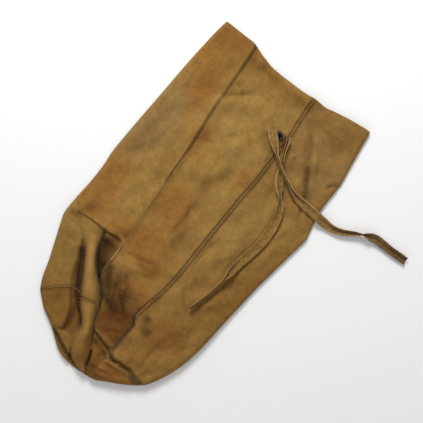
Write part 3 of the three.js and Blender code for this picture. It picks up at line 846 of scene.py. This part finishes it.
# The ridge is steeper near the mouth: its columns crowd together there and round its edge.
fold_steps = (-3.0, -1.9, -0.8, 0.3, 1.5, 2.8, 4.2)
fold_share = (1, 0.98, 0.90, 0.72, 0.48, 0.26, 0.09)
fold_sag = (0, 0.1, 0.1, 0, 0, 0, 0)
first = int(np.argmax(top_shares >= 1))
folded = smooth(70, 150, row_levels)
high, low = top_z[:, first].copy(), top_z[:, first + ridge_columns].copy()
for k in range(ridge_columns):
    column = first + k
    level_x = -ridge_reach + 2 * ridge_reach * k / ridge_columns
    top_x[:, column] += (fold_steps[k] - level_x) * folded
    turned = high * fold_share[k] + low * (1 - fold_share[k]) + fold_sag[k]
    top_z[:, column] = mix(top_z[:, column], turned, folded)


def lean_over(x, y, line, amount):
    """Push the top of a wall out over its foot, so that a lip hangs over the hollow."""
    gap, share = beside(line, x, y)
    out_x, out_y = (gap - beside(line, x + 0.5, y)[0]) / 0.5, (gap - beside(line, x, y + 0.5)[0]) / 0.5
    gap = np.where((share > 0.02) & (share < 0.9), gap, 99.0)
    push = amount * (bell(gap - 2.0, 2.6) - bell(gap + 2.6, 2.4))
    return x + out_x * push, y + out_y * push


top_x, top_y = lean_over(top_x, top_y, lip[6:], 1.6)
under_z = lower_height(under_x, under_y, under_gap)

# %% Turn the mouth in as a hem, then close the sheet
body_x = np.hstack([top_x, under_x])
body_y = np.hstack([top_y, under_y])
body_z = np.hstack([top_z, under_z])
mouth_draws_in = 0.006
mouth_x, mouth_y = body_x[-1] * (1 - mouth_draws_in), body_y[-1]
upper_side = np.arange(len(mouth_x)) < len(top_shares)
mouth_gap = np.hstack([top_gap[-1], under_gap[-1]])
hem_turn = [(0.6, 0.5), (0.3, 1.2), (-1.0, 1.6), (-6, 1.7), (-12, 1.7), (-18, 1.7), (-hem_depth, 1.6)]
for back, drop in hem_turn:
    above = upper_height(mouth_x, mouth_y + back, mouth_gap) - drop * rounded(mouth_gap, 8)
    below = lower_height(mouth_x, mouth_y + back, mouth_gap) + drop
    body_x = np.vstack([body_x, mouth_x])
    body_y = np.vstack([body_y, mouth_y + back])
    body_z = np.vstack([body_z, np.where(upper_side, above, below)])
rows, columns = body_x.shape
hole_reach = 6.2
corner_gap = np.hypot(body_x - eyelet_x, body_y - eyelet_y).ravel()
upper_corner = (np.arange(columns) < len(top_shares))[None, :].repeat(rows, 0).ravel()
uncut = [
    f for f in grid_faces(rows, columns, round_columns=True)
    if not any(upper_corner[v] and corner_gap[v] < hole_reach for v in f)
]
body = cloth_object("body_panel_cloth", np.stack([body_x, body_y, body_z], -1), uncut)
mark_dirt_shade_wear_and_highlight(body)
thickened(body, duck_thickness)
print("body", rows, "rows", columns, "columns", len(body.data.polygons), "faces")

# %% Where a piece that lies on the cloth has to be
def outline_gap(x, y):
    """Distance in from the sack's outline, at the sides and at the folded base."""
    gap = np.minimum(x - x_on(left_edge, y), x_on(right_edge, y) - x)
    return np.where(y < -280, np.minimum(np.maximum(gap, 3.0), (y - y_on(base_fold, x)) * 0.85), gap)


def on_cloth(x, y, above=0.0):
    x, y = np.asarray(x, float), np.asarray(y, float)
    return np.stack([x, y, upper_height(x, y, outline_gap(x, y)) + above], -1)


# %% [markdown]
# ## Base panel
# The round base is folded in half along the rounded end of the outline. Its grid hangs from the base seam:
# down to that fold on the upper side, and back up to the seam underneath.

# %% Base panel grid
def base_grid():
    seam_x, seam_y = top_x[0], top_y[0]
    fold_y = y_on(base_fold, seam_x)
    part = np.concatenate([np.linspace(0, 0.92, 46), 1 - 0.08 * (1 - np.linspace(0, 1, 9)[1:]) ** 2])[:, None]
    x = np.repeat(seam_x[None, :], len(part), 0)
    y = seam_y[None, :] + (fold_y - seam_y)[None, :] * part
    gap = np.hypot(y - fold_y[None, :], 0) * 0.85
    side_gap = np.minimum(top_gap[0][None, :] + 0 * y, 99)
    near = np.minimum(gap, side_gap + 0.2 * gap)
    z = upper_height(x, y, near)
    up = np.stack([x, y, z], -1)
    tuck = up[:1] + np.array([0, 4.0, -2.0])
    under = np.stack([x, y, lower_height(x, y, gap)], -1)[::-1][1::2]
    return np.vstack([tuck, up, under])


base_points = base_grid()
base = cloth_object("base_panel_cloth", base_points, [f[::-1] for f in grid_faces(*base_points.shape[:2])])
mark_dirt_shade_wear_and_highlight(base)
thickened(base, duck_thickness)
print("base", base_points.shape, len(base.data.polygons), "faces")

# %% [markdown]
# ## Finishes
# Old duck has no single colour. Its ground is a tan that greys where light has bleached it, and oil, rust and
# dampness have left soft-edged patches on it. A few patches also paint light and shade: painted shade in the
# pit, on the sunken panel, in the loop by the eyelet and on the right-hand slope, and painted light on the
# middle of the sack. Each effect is a small node group with named inputs, so the body, the base, the binding
# and the patch can share it with their own values.

# %% Helpers for shader trees
def plug(tree, node, inputs):
    """Link or set a node's inputs."""
    for key, value in inputs.items():
        if isinstance(value, bpy.types.NodeSocket):
            tree.links.new(value, node.inputs[key])
        else:
            node.inputs[key].default_value = value


def put(tree, kind, inputs=None, **settings):
    """Add a node, set its options, and link or set its inputs."""
    node = tree.nodes.new(kind)
    for key, value in settings.items():
        setattr(node, key, value)
    plug(tree, node, inputs or {})
    return node


def sums(tree, operation, first, second=0.0, third=0.0):
    return put(tree, "ShaderNodeMath", {0: first, 1: second, 2: third}, operation=operation).outputs[0]


def times(tree, first, second):
    return sums(tree, "MULTIPLY", first, second)


def vectors(tree, operation, first, second):
    second = {"Scale": second} if operation == "SCALE" else {1: second}
    return put(tree, "ShaderNodeVectorMath", {0: first, **second}, operation=operation).outputs[0]


def noise(tree, place, scale, detail, roughness=0.5, distortion=0.0, output=0):
    inputs = {"Vector": place, "Scale": scale, "Detail": detail}
    inputs.update({"Roughness": roughness, "Distortion": distortion})
    return put(tree, "ShaderNodeTexNoise", inputs).outputs[output]


def remap(tree, value, given=(0.0, 1.0), wanted=(0.0, 1.0)):
    """A value that runs over the first pair, stretched to run over the second."""
    ends = zip(("From Min", "From Max", "To Min", "To Max"), (*given, *wanted))
    return put(tree, "ShaderNodeMapRange", {"Value": value, **dict(ends)}).outputs[0]


def bumped(tree, height, strength, distance, over=None):
    """A bump, which may lie over another one."""
    inputs = {"Height": height, "Strength": strength, "Distance": distance}
    return put(tree, "ShaderNodeBump", {**inputs, "Normal": over} if over else inputs).outputs[0]


def read_attribute(tree, name, output="Fac"):
    return put(tree, "ShaderNodeAttribute", attribute_name=name).outputs[output]


def blend_colour(tree, amount, first, second, how="MIX"):
    first, second = (c if isinstance(c, bpy.types.NodeSocket) else (*c, 1) for c in (first, second))
    inputs = {0: amount, 6: first, 7: second}
    return put(tree, "ShaderNodeMix", inputs, data_type="RGBA", blend_type=how).outputs[2]


def darkened(tree, colour, value):
    """A colour times one value in red, green and blue."""
    shade = put(tree, "ShaderNodeCombineColor", {0: value, 1: value, 2: value}).outputs[0]
    return blend_colour(tree, 1.0, colour, shade, "MULTIPLY")


def new_finish(name):
    """A material, its tree, its shader, and the place on the object that its patterns read."""
    finish = bpy.data.materials.new(name)
    finish.use_nodes = True
    tree = finish.node_tree
    return finish, tree, tree.nodes["Principled BSDF"], put(tree, "ShaderNodeTexCoord").outputs["Object"]


def new_group(name, inputs, outputs):
    group = bpy.data.node_groups.new(name, "ShaderNodeTree")
    kinds = {"vector": "NodeSocketVector", "value": "NodeSocketFloat", "colour": "NodeSocketColor"}
    for label, kind, value in inputs:
        socket = group.interface.new_socket(label, in_out="INPUT", socket_type=kinds[kind])
        if value is not None:
            socket.default_value = value
    for label, kind in outputs:
        group.interface.new_socket(label, in_out="OUTPUT", socket_type=kinds[kind])
    ends = group.nodes.new("NodeGroupInput"), group.nodes.new("NodeGroupOutput")
    return group, ends[0].outputs, ends[1].inputs


def use_group(tree, group, inputs):
    node = tree.nodes.new("ShaderNodeGroup")
    node.node_tree = group
    plug(tree, node, inputs)
    return node.outputs


def tint(red, green, blue):
    """A colour given as it looks on a screen, 0 to 255, turned into the light it stands for."""
    return tuple(((c / 255 + 0.055) / 1.055) ** 2.4 for c in (red, green, blue))


# %% Group: plain weave of threads
weave_group, w_in, w_out = new_group(
    "plain_weave",
    [("Vector", "vector", None), ("Spacing", "value", 0.001), ("Slub", "value", 0.4)],
    [("Height", "value"), ("Slub", "value")],
)
turns = sums(weave_group, "DIVIDE", 2 * math.pi, w_in["Spacing"])
split = put(weave_group, "ShaderNodeSeparateXYZ", {0: w_in["Vector"]}).outputs
warp, weft = (sums(weave_group, "SINE", times(weave_group, split[axis], turns)) for axis in (0, 1))
crossing = sums(weave_group, "MULTIPLY_ADD", times(weave_group, warp, weft), 0.5, 0.5)
across_slub, along_slub = 900, 70
slubs = []
for stretch in ((across_slub, along_slub, along_slub), (along_slub, across_slub, along_slub)):
    stretched = put(weave_group, "ShaderNodeMapping", {"Vector": w_in["Vector"], "Scale": stretch}).outputs[0]
    slubs.append(noise(weave_group, stretched, 1.0, 2.0))
slub = sums(weave_group, "ADD", *slubs)
weave_group.links.new(sums(weave_group, "MULTIPLY_ADD", slub, w_in["Slub"], crossing), w_out["Height"])
weave_group.links.new(sums(weave_group, "SUBTRACT", slub, 1.0), w_out["Slub"])

# %% Group: one soft-edged stain
stain_group, s_in, s_out = new_group(
    "soft_stain",
    [("Vector", "vector", None), ("Centre", "vector", (0, 0, 0)), ("Size", "vector", (0.02, 0.02, 1)),
     ("Softness", "value", 0.5), ("Strength", "value", 0.5), ("Breakup", "value", 0.6)],
    [("Mask", "value")],
)
ragged = noise(stain_group, s_in["Vector"], 38.0, 4.0, output=1)
ragged = vectors(stain_group, "SUBTRACT", ragged, (0.5, 0.5, 0.5))
ragged = vectors(stain_group, "SCALE", ragged, s_in["Breakup"])
spot = vectors(stain_group, "SUBTRACT", s_in["Vector"], s_in["Centre"])
spot = vectors(stain_group, "DIVIDE", spot, s_in["Size"])
spot = vectors(stain_group, "ADD", spot, ragged)
spot = vectors(stain_group, "MULTIPLY", spot, (1, 1, 0))
reach = put(stain_group, "ShaderNodeVectorMath", {0: spot}, operation="LENGTH").outputs["Value"]
fall = put(
    stain_group, "ShaderNodeMapRange",
    {"Value": reach, "From Min": sums(stain_group, "ADD", 1.0, s_in["Softness"]),
     "From Max": sums(stain_group, "SUBTRACT", 1.0, s_in["Softness"])},
    interpolation_type="SMOOTHSTEP",
).outputs[0]
stain_group.links.new(times(stain_group, fall, s_in["Strength"]), s_out["Mask"])

# %% Stains, each at its place on the sack: x, y, half width, half length, softness, strength, colour
# the bleach colour also paints light on the raised middle, and the damp colour paints shade on the right-hand
# slope
rust, oil, damp_and_shade, bleach_and_light = tint(138, 86, 32), tint(112, 70, 22), tint(134, 106, 64), tint(160, 126, 66)
# a dark oil colour, also used for patches of painted shade
dark_oil_and_shade, mildew = tint(70, 38, 8), tint(104, 80, 40)
stains = [
    # faded patches, which also paint light on the raised middle of the sack
    (-30, 190, 62, 130, 0.7, 0.40, bleach_and_light),
    (90, 30, 60, 140, 0.8, 0.25, bleach_and_light),
    (-118, -10, 34, 60, 0.8, 0.35, bleach_and_light),
    (-165, 120, 34, 90, 0.7, 0.65, tint(142, 114, 72)),
    (-164, 70, 20, 46, 0.7, 0.25, mildew),
    (-152, 232, 34, 44, 0.6, 0.42, rust),
    (-136, 200, 22, 40, 0.6, 0.45, rust),
    (-176, 292, 34, 44, 0.6, 0.42, rust),
    (-150, 318, 60, 24, 0.7, 0.35, oil),
    (-160, -45, 34, 62, 0.7, 0.50, rust),
    (-120, -92, 60, 20, 0.8, 0.35, rust),
    (-84, 138, 14, 24, 0.6, 0.55, rust),
    (-74, 104, 18, 14, 0.7, 0.30, rust),
    (34, 130, 16, 24, 0.7, 0.40, rust),
    (-14, 72, 9, 14, 0.7, 0.45, oil),
    (-34, 4, 36, 44, 0.6, 0.55, rust),
    (-8, -6, 7, 30, 0.7, 0.40, oil),
    (-30, -84, 58, 36, 0.7, 0.52, rust),
    (0, -112, 26, 14, 0.7, 0.60, oil),
    (16, -170, 44, 34, 0.6, 0.55, rust),
    # the next four patches are partly painted shade: the slope right of the thin edge, the pit under the lip,
    # and the sunken panel above the base seam
    (-26, -172, 30, 26, 0.7, 0.52, dark_oil_and_shade),
    (-78, -132, 16, 28, 0.5, 0.60, tint(92, 54, 16)),
    (8, -212, 34, 18, 0.7, 0.62, dark_oil_and_shade),
    (20, -240, 36, 34, 0.4, 0.78, tint(92, 46, 8)),
    (57, 294, 10, 12, 0.7, 0.30, dark_oil_and_shade),
    (78, 224, 2.5, 5, 0.5, 0.6, dark_oil_and_shade),
    # partly painted shade in the loop of tape beside the eyelet
    (42, 232, 8, 10, 0.6, 0.55, tint(78, 36, 10)),
    (104, 165, 40, 26, 0.8, 0.25, oil),
    (122, -192, 40, 26, 0.7, 0.55, rust),
    (96, -236, 36, 44, 0.8, 0.34, rust),
    (72, -196, 20, 16, 0.6, 0.45, mildew),
    (78, -208, 10, 9, 0.7, 0.60, dark_oil_and_shade),
    (66, -190, 7, 7, 0.7, 0.50, dark_oil_and_shade),
    (66, -318, 34, 20, 0.7, 0.45, rust),
    (30, -318, 26, 30, 0.7, 0.55, oil),
    (40, -332, 26, 10, 0.7, 0.55, dark_oil_and_shade),
    (-30, 313, 80, 8, 0.7, 0.40, oil),
    (176, 40, 12, 190, 0.8, 0.35, oil),
    (150, -60, 24, 70, 0.8, 0.40, oil),
    (110, -150, 40, 40, 0.8, 0.35, oil),
    # the next two patches also paint shade on the right-hand slope, which falls away from the lamp
    (124, 262, 64, 90, 0.8, 0.42, damp_and_shade),
    (110, 315, 60, 30, 0.8, 0.36, oil),
    (-60, 310, 90, 30, 0.8, 0.30, oil),
    (-150, -225, 50, 70, 0.9, 0.20, mildew),
    (-100, -268, 50, 40, 0.8, 0.40, oil),
    (60, -318, 60, 36, 0.8, 0.15, oil),
    (-38, -290, 34, 30, 0.8, 0.30, oil),
]


# %% Finish: duck, for the body and the base
def stained_duck(name, ground, shift=(0, 0, 0), spots=stains):
    finish, tree, shader, place = new_finish(name)
    moved = put(tree, "ShaderNodeMapping", {"Vector": place, "Location": shift}).outputs[0]
    weave = use_group(tree, weave_group, {"Vector": place, "Spacing": 0.0011, "Slub": 0.5})
    # the ground, from paler to duller, with every stain over it
    colour = blend_colour(tree, times(tree, noise(tree, moved, 9.0, 5.0), 0.55), ground, tint(118, 85, 36))
    for x, y, wide, long, soft, strength, shade in spots:
        mask = use_group(tree, stain_group, {
            "Vector": place, "Centre": (x * MM, y * MM, 0), "Size": (wide * MM, long * MM, 1),
            "Softness": soft, "Strength": strength, "Breakup": 0.9,
        })["Mask"]
        colour = blend_colour(tree, mask, colour, shade)
    rusty = remap(tree, noise(tree, moved, 26.0, 4.0, 0.6), (0.52, 0.72), (0.0, 0.32))
    colour = blend_colour(tree, rusty, colour, tint(132, 86, 34))
    # mottling, the grain of the yarn and its slubs
    fine = noise(tree, moved, 85.0, 6.0, 0.65)
    grain = remap(tree, noise(tree, place, 420.0, 3.0, 0.7), (0.3, 0.7), (0.88, 1.10))
    mottle = times(tree, remap(tree, fine, (0.3, 0.7), (0.82, 1.14)), grain)
    streak = sums(tree, "MULTIPLY_ADD", weave["Slub"], 0.35, 1.0)
    colour = darkened(tree, colour, times(tree, mottle, streak))
    # worn edges with painted highlight, and settled dirt with painted shade in hollows and along folds
    colour = blend_colour(tree, times(tree, read_attribute(tree, "wear_and_highlight"), 0.45), colour, tint(176, 134, 72))
    colour = blend_colour(tree, times(tree, read_attribute(tree, "dirt_and_shade"), 0.96), colour, tint(40, 22, 3))
    crumple = bumped(tree, noise(tree, moved, 48.0, 5.0, distortion=0.4), 0.35, 0.0022)
    plug(tree, shader, {
        "Base Color": colour, "Roughness": remap(tree, fine, wanted=(0.86, 0.98)),
        "Sheen Weight": 0.04, "Sheen Roughness": 0.6, "Specular IOR Level": 0.1,
        "Normal": bumped(tree, weave["Height"], 0.35, 0.0003, crumple),
    })
    return finish


duck_finish = stained_duck("stained_duck_body", tint(154, 119, 61))
base_finish = stained_duck("stained_duck_base", tint(148, 110, 54), shift=(0.3, 0.1, 0))
for piece, finish in ((body, duck_finish), (base, base_finish)):
    piece.data.materials.append(finish)


# %% Finish: cotton webbing of the tape
rib_pitch, ribs_round = 0.0016, 22
soiled_to = 0.985


def webbing(name, ground, dark, soiled_from=0.93, soiled=0.75):
    """soiled_from is the share of the tail's length where its end starts to be dirty."""
    finish, tree, shader, place = new_finish(name)
    part = put(tree, "ShaderNodeSeparateXYZ", {0: read_attribute(tree, "along_tape", "Vector")}).outputs
    ribs = sums(tree, "SINE", times(tree, part[0], 2 * math.pi / rib_pitch))
    lines = sums(tree, "SINE", times(tree, part[1], 2 * math.pi * ribs_round))
    height = sums(tree, "MULTIPLY_ADD", times(tree, ribs, lines), 0.5, 0.5)
    fine = noise(tree, place, 160.0, 5.0)
    colour = blend_colour(tree, times(tree, noise(tree, place, 26.0, 3.0), 0.7), ground, dark)
    end = times(tree, remap(tree, part[2], (soiled_from, soiled_to)), soiled)
    colour = blend_colour(tree, end, colour, tint(66, 50, 30))
    # pale tape edges: painted highlight where an edge faces the lamp
    colour = blend_colour(tree, times(tree, read_attribute(tree, "wear_and_highlight"), 0.85), colour, tint(206, 164, 98))
    plug(tree, shader, {
        "Base Color": darkened(tree, colour, remap(tree, fine, (0.3, 0.7), (0.6, 1.22))),
        "Roughness": remap(tree, fine, wanted=(0.8, 0.95)), "Sheen Weight": 0.1, "Specular IOR Level": 0.2,
        "Normal": bumped(tree, height, 0.5, 0.0005),
    })
    return finish


tape_finish = webbing("cotton_webbing", tint(150, 114, 54), tint(110, 80, 36))
floor_tail.data.materials.append(webbing("soiled_webbing", tint(160, 124, 66), tint(120, 88, 42), 0.36, 0.66))
sack_tail.data.materials.append(tape_finish)

# %% [markdown]
# ## Base seam binding
# A narrow cotton tape is folded over the raw edges where the base is sewn in. It stands up as a ridge where
# the seam lies open, and turns flat and shows its full width only at the right-hand end.

# %% Binding: a strip along the seam line, wider where it shows
seam_path = np.stack([top_x[0], top_y[0]], -1)
seam_run = np.gradient(seam_path, axis=0)
seam_run /= np.linalg.norm(seam_run, axis=1)[:, None]
seam_side = np.stack([-seam_run[:, 1], seam_run[:, 0]], -1)
half_width = 1.2 + 1.6 * smooth(-6, 6, seam_path[:, 0]) + 4.2 * smooth(96, 118, seam_path[:, 0])
strips = []
for reach, above in ((-1, 0.1), (-0.8, 0.75), (-0.3, 1.15), (0.3, 1.15), (0.8, 0.75), (1, 0.1)):
    edge = seam_path + seam_side * (reach * half_width)[:, None]
    edge[:, 1] = np.maximum(edge[:, 1], y_on(base_fold, edge[:, 0]) + 0.4)
    strips.append(on_cloth(edge[:, 0], edge[:, 1], above))
binding_points = np.stack(strips)
binding = cloth_object("base_seam_binding_tape", binding_points, grid_faces(*binding_points.shape[:2]))
thickened(binding, binding_thickness * 0.6)
print("binding", round(float(np.linalg.norm(np.diff(seam_path, axis=0), axis=1).sum())), "mm long")


# %% [markdown]
# ## Cloth with an eyelet hole
# The middle of the tie tape and the patch inside the sack are both small flat pieces with a round hole for
# the eyelet. Each is made of rings that run from the hole out to its edge, on both faces.

# %% Middle of the tape and the inside patch
punched_hole = 5.9
under_cloth_gap = 0.4
rounded_edge = 0.35


def holed_sheet(name, node, hole, fray=0.0, under_cloth=False):
    """A flat piece in its node's box, or, if it lies under the cloth, bent to the cloth's lower face."""
    low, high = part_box(node)
    low, high = np.array(low) / MM, np.array(high) / MM
    turns = np.linspace(0, 2 * math.pi, 72, endpoint=False)
    cx, sx = np.cos(turns), np.sin(turns)
    room_x = np.where(cx > 0, high[0] - eyelet_x, eyelet_x - low[0]) / np.maximum(np.abs(cx), 1e-6)
    room_y = np.where(sx > 0, high[1] - eyelet_y, eyelet_y - low[1]) / np.maximum(np.abs(sx), 1e-6)
    rng = np.random.default_rng(5)
    edge = np.minimum(room_x, room_y) - fray * rng.uniform(0, 1, len(turns))
    parts = np.array([0, 0.15, 0.35, 0.6, 0.85, 0.97, 1.0])
    rings = []
    for z, order in ((high[2], parts), (low[2], parts[::-1])):
        for part in order:
            reach = hole + (edge - hole) * part
            inset = rounded_edge * (part in (0, 1.0))
            face = z + inset if z == low[2] else z - inset
            x, y = eyelet_x + cx * reach, eyelet_y + sx * reach
            if under_cloth:
                rings.append(on_cloth(x, y, face - high[2] - duck_thickness - under_cloth_gap))
            else:
                rings.append(np.stack([x, y, face + 0 * x], -1))
    points = np.stack(rings)
    count, around = points.shape[:2]
    faces = grid_faces(count, around, round_columns=True)
    faces += [((count - 1) * around + j, (count - 1) * around + (j + 1) % around, (j + 1) % around, j)
              for j in range(around)]
    return cloth_object(name, points, [f[::-1] for f in faces])


tape_middle = holed_sheet("tie_tape_middle_webbing", "tie_tape_middle", punched_hole)
patch = holed_sheet("eyelet_patch_cloth", "eyelet_patch", punched_hole, fray=1.2, under_cloth=True)

# %% [markdown]
# ## Stitches
# Every seam is a row of short sunken stitches in thick cotton thread. A row is one path on the cloth, and
# Geometry Nodes resample it to the stitch length, set a small rounded stitch on each point and turn it
# along the path. A little random turn keeps the rows from looking machined.

# %% Finish: cotton thread
def thread_finish(name, colour):
    finish, tree, shader, place = new_finish(name)
    tone = blend_colour(tree, noise(tree, place, 120.0, 3.0), colour, tuple(c * 0.45 for c in colour))
    twist = put(tree, "ShaderNodeTexWave", {"Vector": place, "Scale": 900.0}, bands_direction="DIAGONAL")
    bump = bumped(tree, twist.outputs[1], 0.4, 0.0002)
    plug(tree, shader, {"Base Color": tone, "Roughness": 0.85, "Normal": bump})
    return finish


dark_thread = thread_finish("dark_cotton_thread", tint(84, 60, 30))
pale_thread = thread_finish("pale_cotton_thread", tint(126, 98, 58))
hem_thread = thread_finish("tan_cotton_thread", tint(150, 112, 58))


# %% Stitch tree
stitch_wobble = 0.12


def stitch_tree():
    tree = bpy.data.node_groups.new("stitch_row", "GeometryNodeTree")
    socket = tree.interface.new_socket
    socket("Geometry", in_out="INPUT", socket_type="NodeSocketGeometry")
    sizes = {}
    for label, value in (("Pitch", 0.0036), ("Stitch Length", 0.0026), ("Thread", 0.0008)):
        sizes[label] = socket(label, in_out="INPUT", socket_type="NodeSocketFloat")
        sizes[label].default_value = value
    sizes["Finish"] = socket("Finish", in_out="INPUT", socket_type="NodeSocketMaterial")
    socket("Geometry", in_out="OUTPUT", socket_type="NodeSocketGeometry")
    given, made = tree.nodes.new("NodeGroupInput").outputs, tree.nodes.new("NodeGroupOutput")

    def step(kind, inputs=None, **settings):
        return put(tree, kind, inputs, **settings).outputs[0]

    path = step("GeometryNodeMeshToCurve", {"Mesh": given["Geometry"]})
    path = step("GeometryNodeResampleCurve", {"Curve": path, "Length": given["Pitch"]}, mode="LENGTH")
    bead = step("GeometryNodeMeshUVSphere", {"Segments": 6, "Rings": 5, "Radius": 0.5})
    size = step("ShaderNodeCombineXYZ", {0: given["Thread"], 1: given["Thread"], 2: given["Stitch Length"]})
    bead = step("GeometryNodeTransform", {"Geometry": bead, "Scale": size})
    turn = step("FunctionNodeAlignRotationToVector", {"Vector": step("GeometryNodeInputTangent")}, axis="Z")
    least, most = (-stitch_wobble,) * 3, (stitch_wobble,) * 3
    wobble = step("FunctionNodeRandomValue", {0: least, 1: most, "Seed": 3}, data_type="FLOAT_VECTOR")
    turn = step("FunctionNodeRotateRotation", {"Rotation": turn, "Rotate By": wobble})
    row = step("GeometryNodeInstanceOnPoints", {"Points": path, "Instance": bead, "Rotation": turn})
    row = step("GeometryNodeRealizeInstances", {"Geometry": row})
    row = step("GeometryNodeSetMaterial", {"Geometry": row, "Material": given["Finish"]})
    tree.links.new(row, made.inputs[0])
    return tree, {label: socket.identifier for label, socket in sizes.items()}


stitches, stitch_inputs = stitch_tree()


# %% Sew a row along a path
def sew(name, paths, finish, pitch=0.0036, length=0.0027, thread=0.0009):
    """paths are lists of millimetre points; each is one row."""
    points, edges = [], []
    for path, closed in paths:
        start = len(points)
        points += (np.asarray(path) * MM).tolist()
        edges += [(start + k, start + k + 1) for k in range(len(path) - 1)]
        if closed:
            edges.append((len(points) - 1, start))
    mesh = bpy.data.meshes.new(name)
    mesh.from_pydata(points, edges, [])
    row = bpy.data.objects.new(name, mesh)
    bpy.context.scene.collection.objects.link(row)
    sewing = row.modifiers.new("stitches", "NODES")
    sewing.node_group = stitches
    for label, value in (("Pitch", pitch), ("Stitch Length", length), ("Thread", thread), ("Finish", finish)):
        sewing[stitch_inputs[label]] = value
    finished(row)
    row.data.polygons.foreach_set("use_smooth", [True] * len(row.data.polygons))
    print(name, len(row.data.polygons), "faces")
    return row


# %% Rows of the side seam, the hem, the base seam and the patch
row_step = 3.0
seam_row_offset, seam_row_end = 3.0, 326.0
clear_of_eyelet = 11.5
hem_row_from_edge = 2.0
hem_thread_height = 0.46
base_row_offset = 4.3
patch_thread_rise = 0.4


def seam_row(offset):
    y = np.arange(-276.0 if offset < 0 else -282.0, seam_row_end, row_step)
    x = x_on(side_seam, y) + offset
    keep = (np.hypot(x - eyelet_x, y - eyelet_y) > clear_of_eyelet) | (y < 0)
    return on_cloth(x[keep], y[keep], 0.05)


def base_row(offset):
    edge = seam_path + seam_side * offset
    inside = outline_gap(edge[:, 0], edge[:, 1]) > 1.0
    return on_cloth(edge[inside, 0], edge[inside, 1], 0.1)


seam_stitches_left, seam_stitches_right = (
    sew("side_seam_stitches_" + hand, [(seam_row(offset), False)], dark_thread)
    for hand, offset in (("left", -seam_row_offset), ("right", seam_row_offset))
)

hem_x = np.arange(-186.0, 158.0, row_step)
hem_y = y_on(mouth_line, hem_x) - hem_depth + hem_row_from_edge
hem_under = np.column_stack([hem_x, hem_y, np.full(len(hem_x), hem_thread_height)])[::-1]
hem_stitches = sew("hem_stitches", [(np.vstack([on_cloth(hem_x, hem_y), hem_under]), True)], hem_thread)

base_stitches_upper, base_stitches_lower = (
    sew("base_seam_stitches_" + side, [(base_row(offset), False)], dark_thread)
    for side, offset in (("upper", base_row_offset), ("lower", -base_row_offset))
)

(x0, y0, z0), (x1, y1, _) = (np.array(c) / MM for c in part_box("patch_thread"))
ring = np.array([(x0, y0), (x1, y0), (x1, y1), (x0, y1), (x0, y0)])
square = np.array([mix(a, b, t) for a, b in zip(ring, ring[1:]) for t in np.arange(0, 1, 0.1)])
square = np.column_stack([square, np.full(len(square), z0 + patch_thread_rise)])
patch_stitches = sew("patch_stitches", [(square, True)], pale_thread)

# %% [markdown]
# ## Eyelet
# The eyelet is brass that has gone nearly black, with a blue-grey bloom where the tape has rubbed its rim.
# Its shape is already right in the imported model, so only its finish is made here.

# %% Finish: old dark metal
def old_metal(name):
    finish, tree, shader, place = new_finish(name)
    patina = noise(tree, place, 260.0, 6.0)
    colour = blend_colour(tree, remap(tree, patina, (0.42, 0.62)), tint(20, 22, 21), tint(62, 72, 72))
    plug(tree, shader, {
        "Base Color": colour, "Roughness": remap(tree, patina, wanted=(0.62, 0.34)), "Metallic": 0.75,
        "Normal": bumped(tree, patina, 0.3, 0.0002),
    })
    return finish


eyelet_finish = old_metal("old_dark_metal")
for name in ("eyelet_barrel", "eyelet_washer"):
    nodes[name].data.materials.clear()
    nodes[name].data.materials.append(eyelet_finish)

# %% Finishes of the small pieces
binding_spots = [
    (126, -292, 26, 14, 0.6, 0.7, tint(90, 72, 38)),
    (70, -288, 30, 8, 0.5, 0.6, tint(70, 48, 18)),
]
binding_finish = stained_duck("grey_green_binding", tint(112, 86, 46), (0.7, 0.2, 0), binding_spots)
patch_finish = stained_duck("patch_duck", tint(150, 120, 74), shift=(0.1, 0.5, 0), spots=())
for piece, finish in ((binding, binding_finish), (patch, patch_finish), (tape_middle, tape_finish)):
    piece.data.materials.append(finish)

# %% [markdown]
# ## Putting it together
# Every piece stands for one solid of the imported model and rides on the sack's one body.

# %% Put each piece on the frame
for piece, finish_slot, node in (
    (body, "duck", "body_panel"),
    (base, "duck", "base_panel"),
    (binding, "binding", "base_seam_binding"),
    (patch, "duck", "eyelet_patch"),
    (tape_middle, "tape", "tie_tape_middle"),
    (floor_tail, "tape", "tie_tape_floor_tail"),
    (sack_tail, "tape", "tie_tape_sack_tail"),
    (seam_stitches_left, "thread", "side_seam_thread_left"),
    (seam_stitches_right, "thread", "side_seam_thread_right"),
    (hem_stitches, "thread", "hem_thread"),
    (base_stitches_upper, "thread", "base_seam_thread_upper"),
    (base_stitches_lower, "thread", "base_seam_thread_lower"),
    (patch_stitches, "thread", "patch_thread"),
):
    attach(piece, "root")
    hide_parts(node)
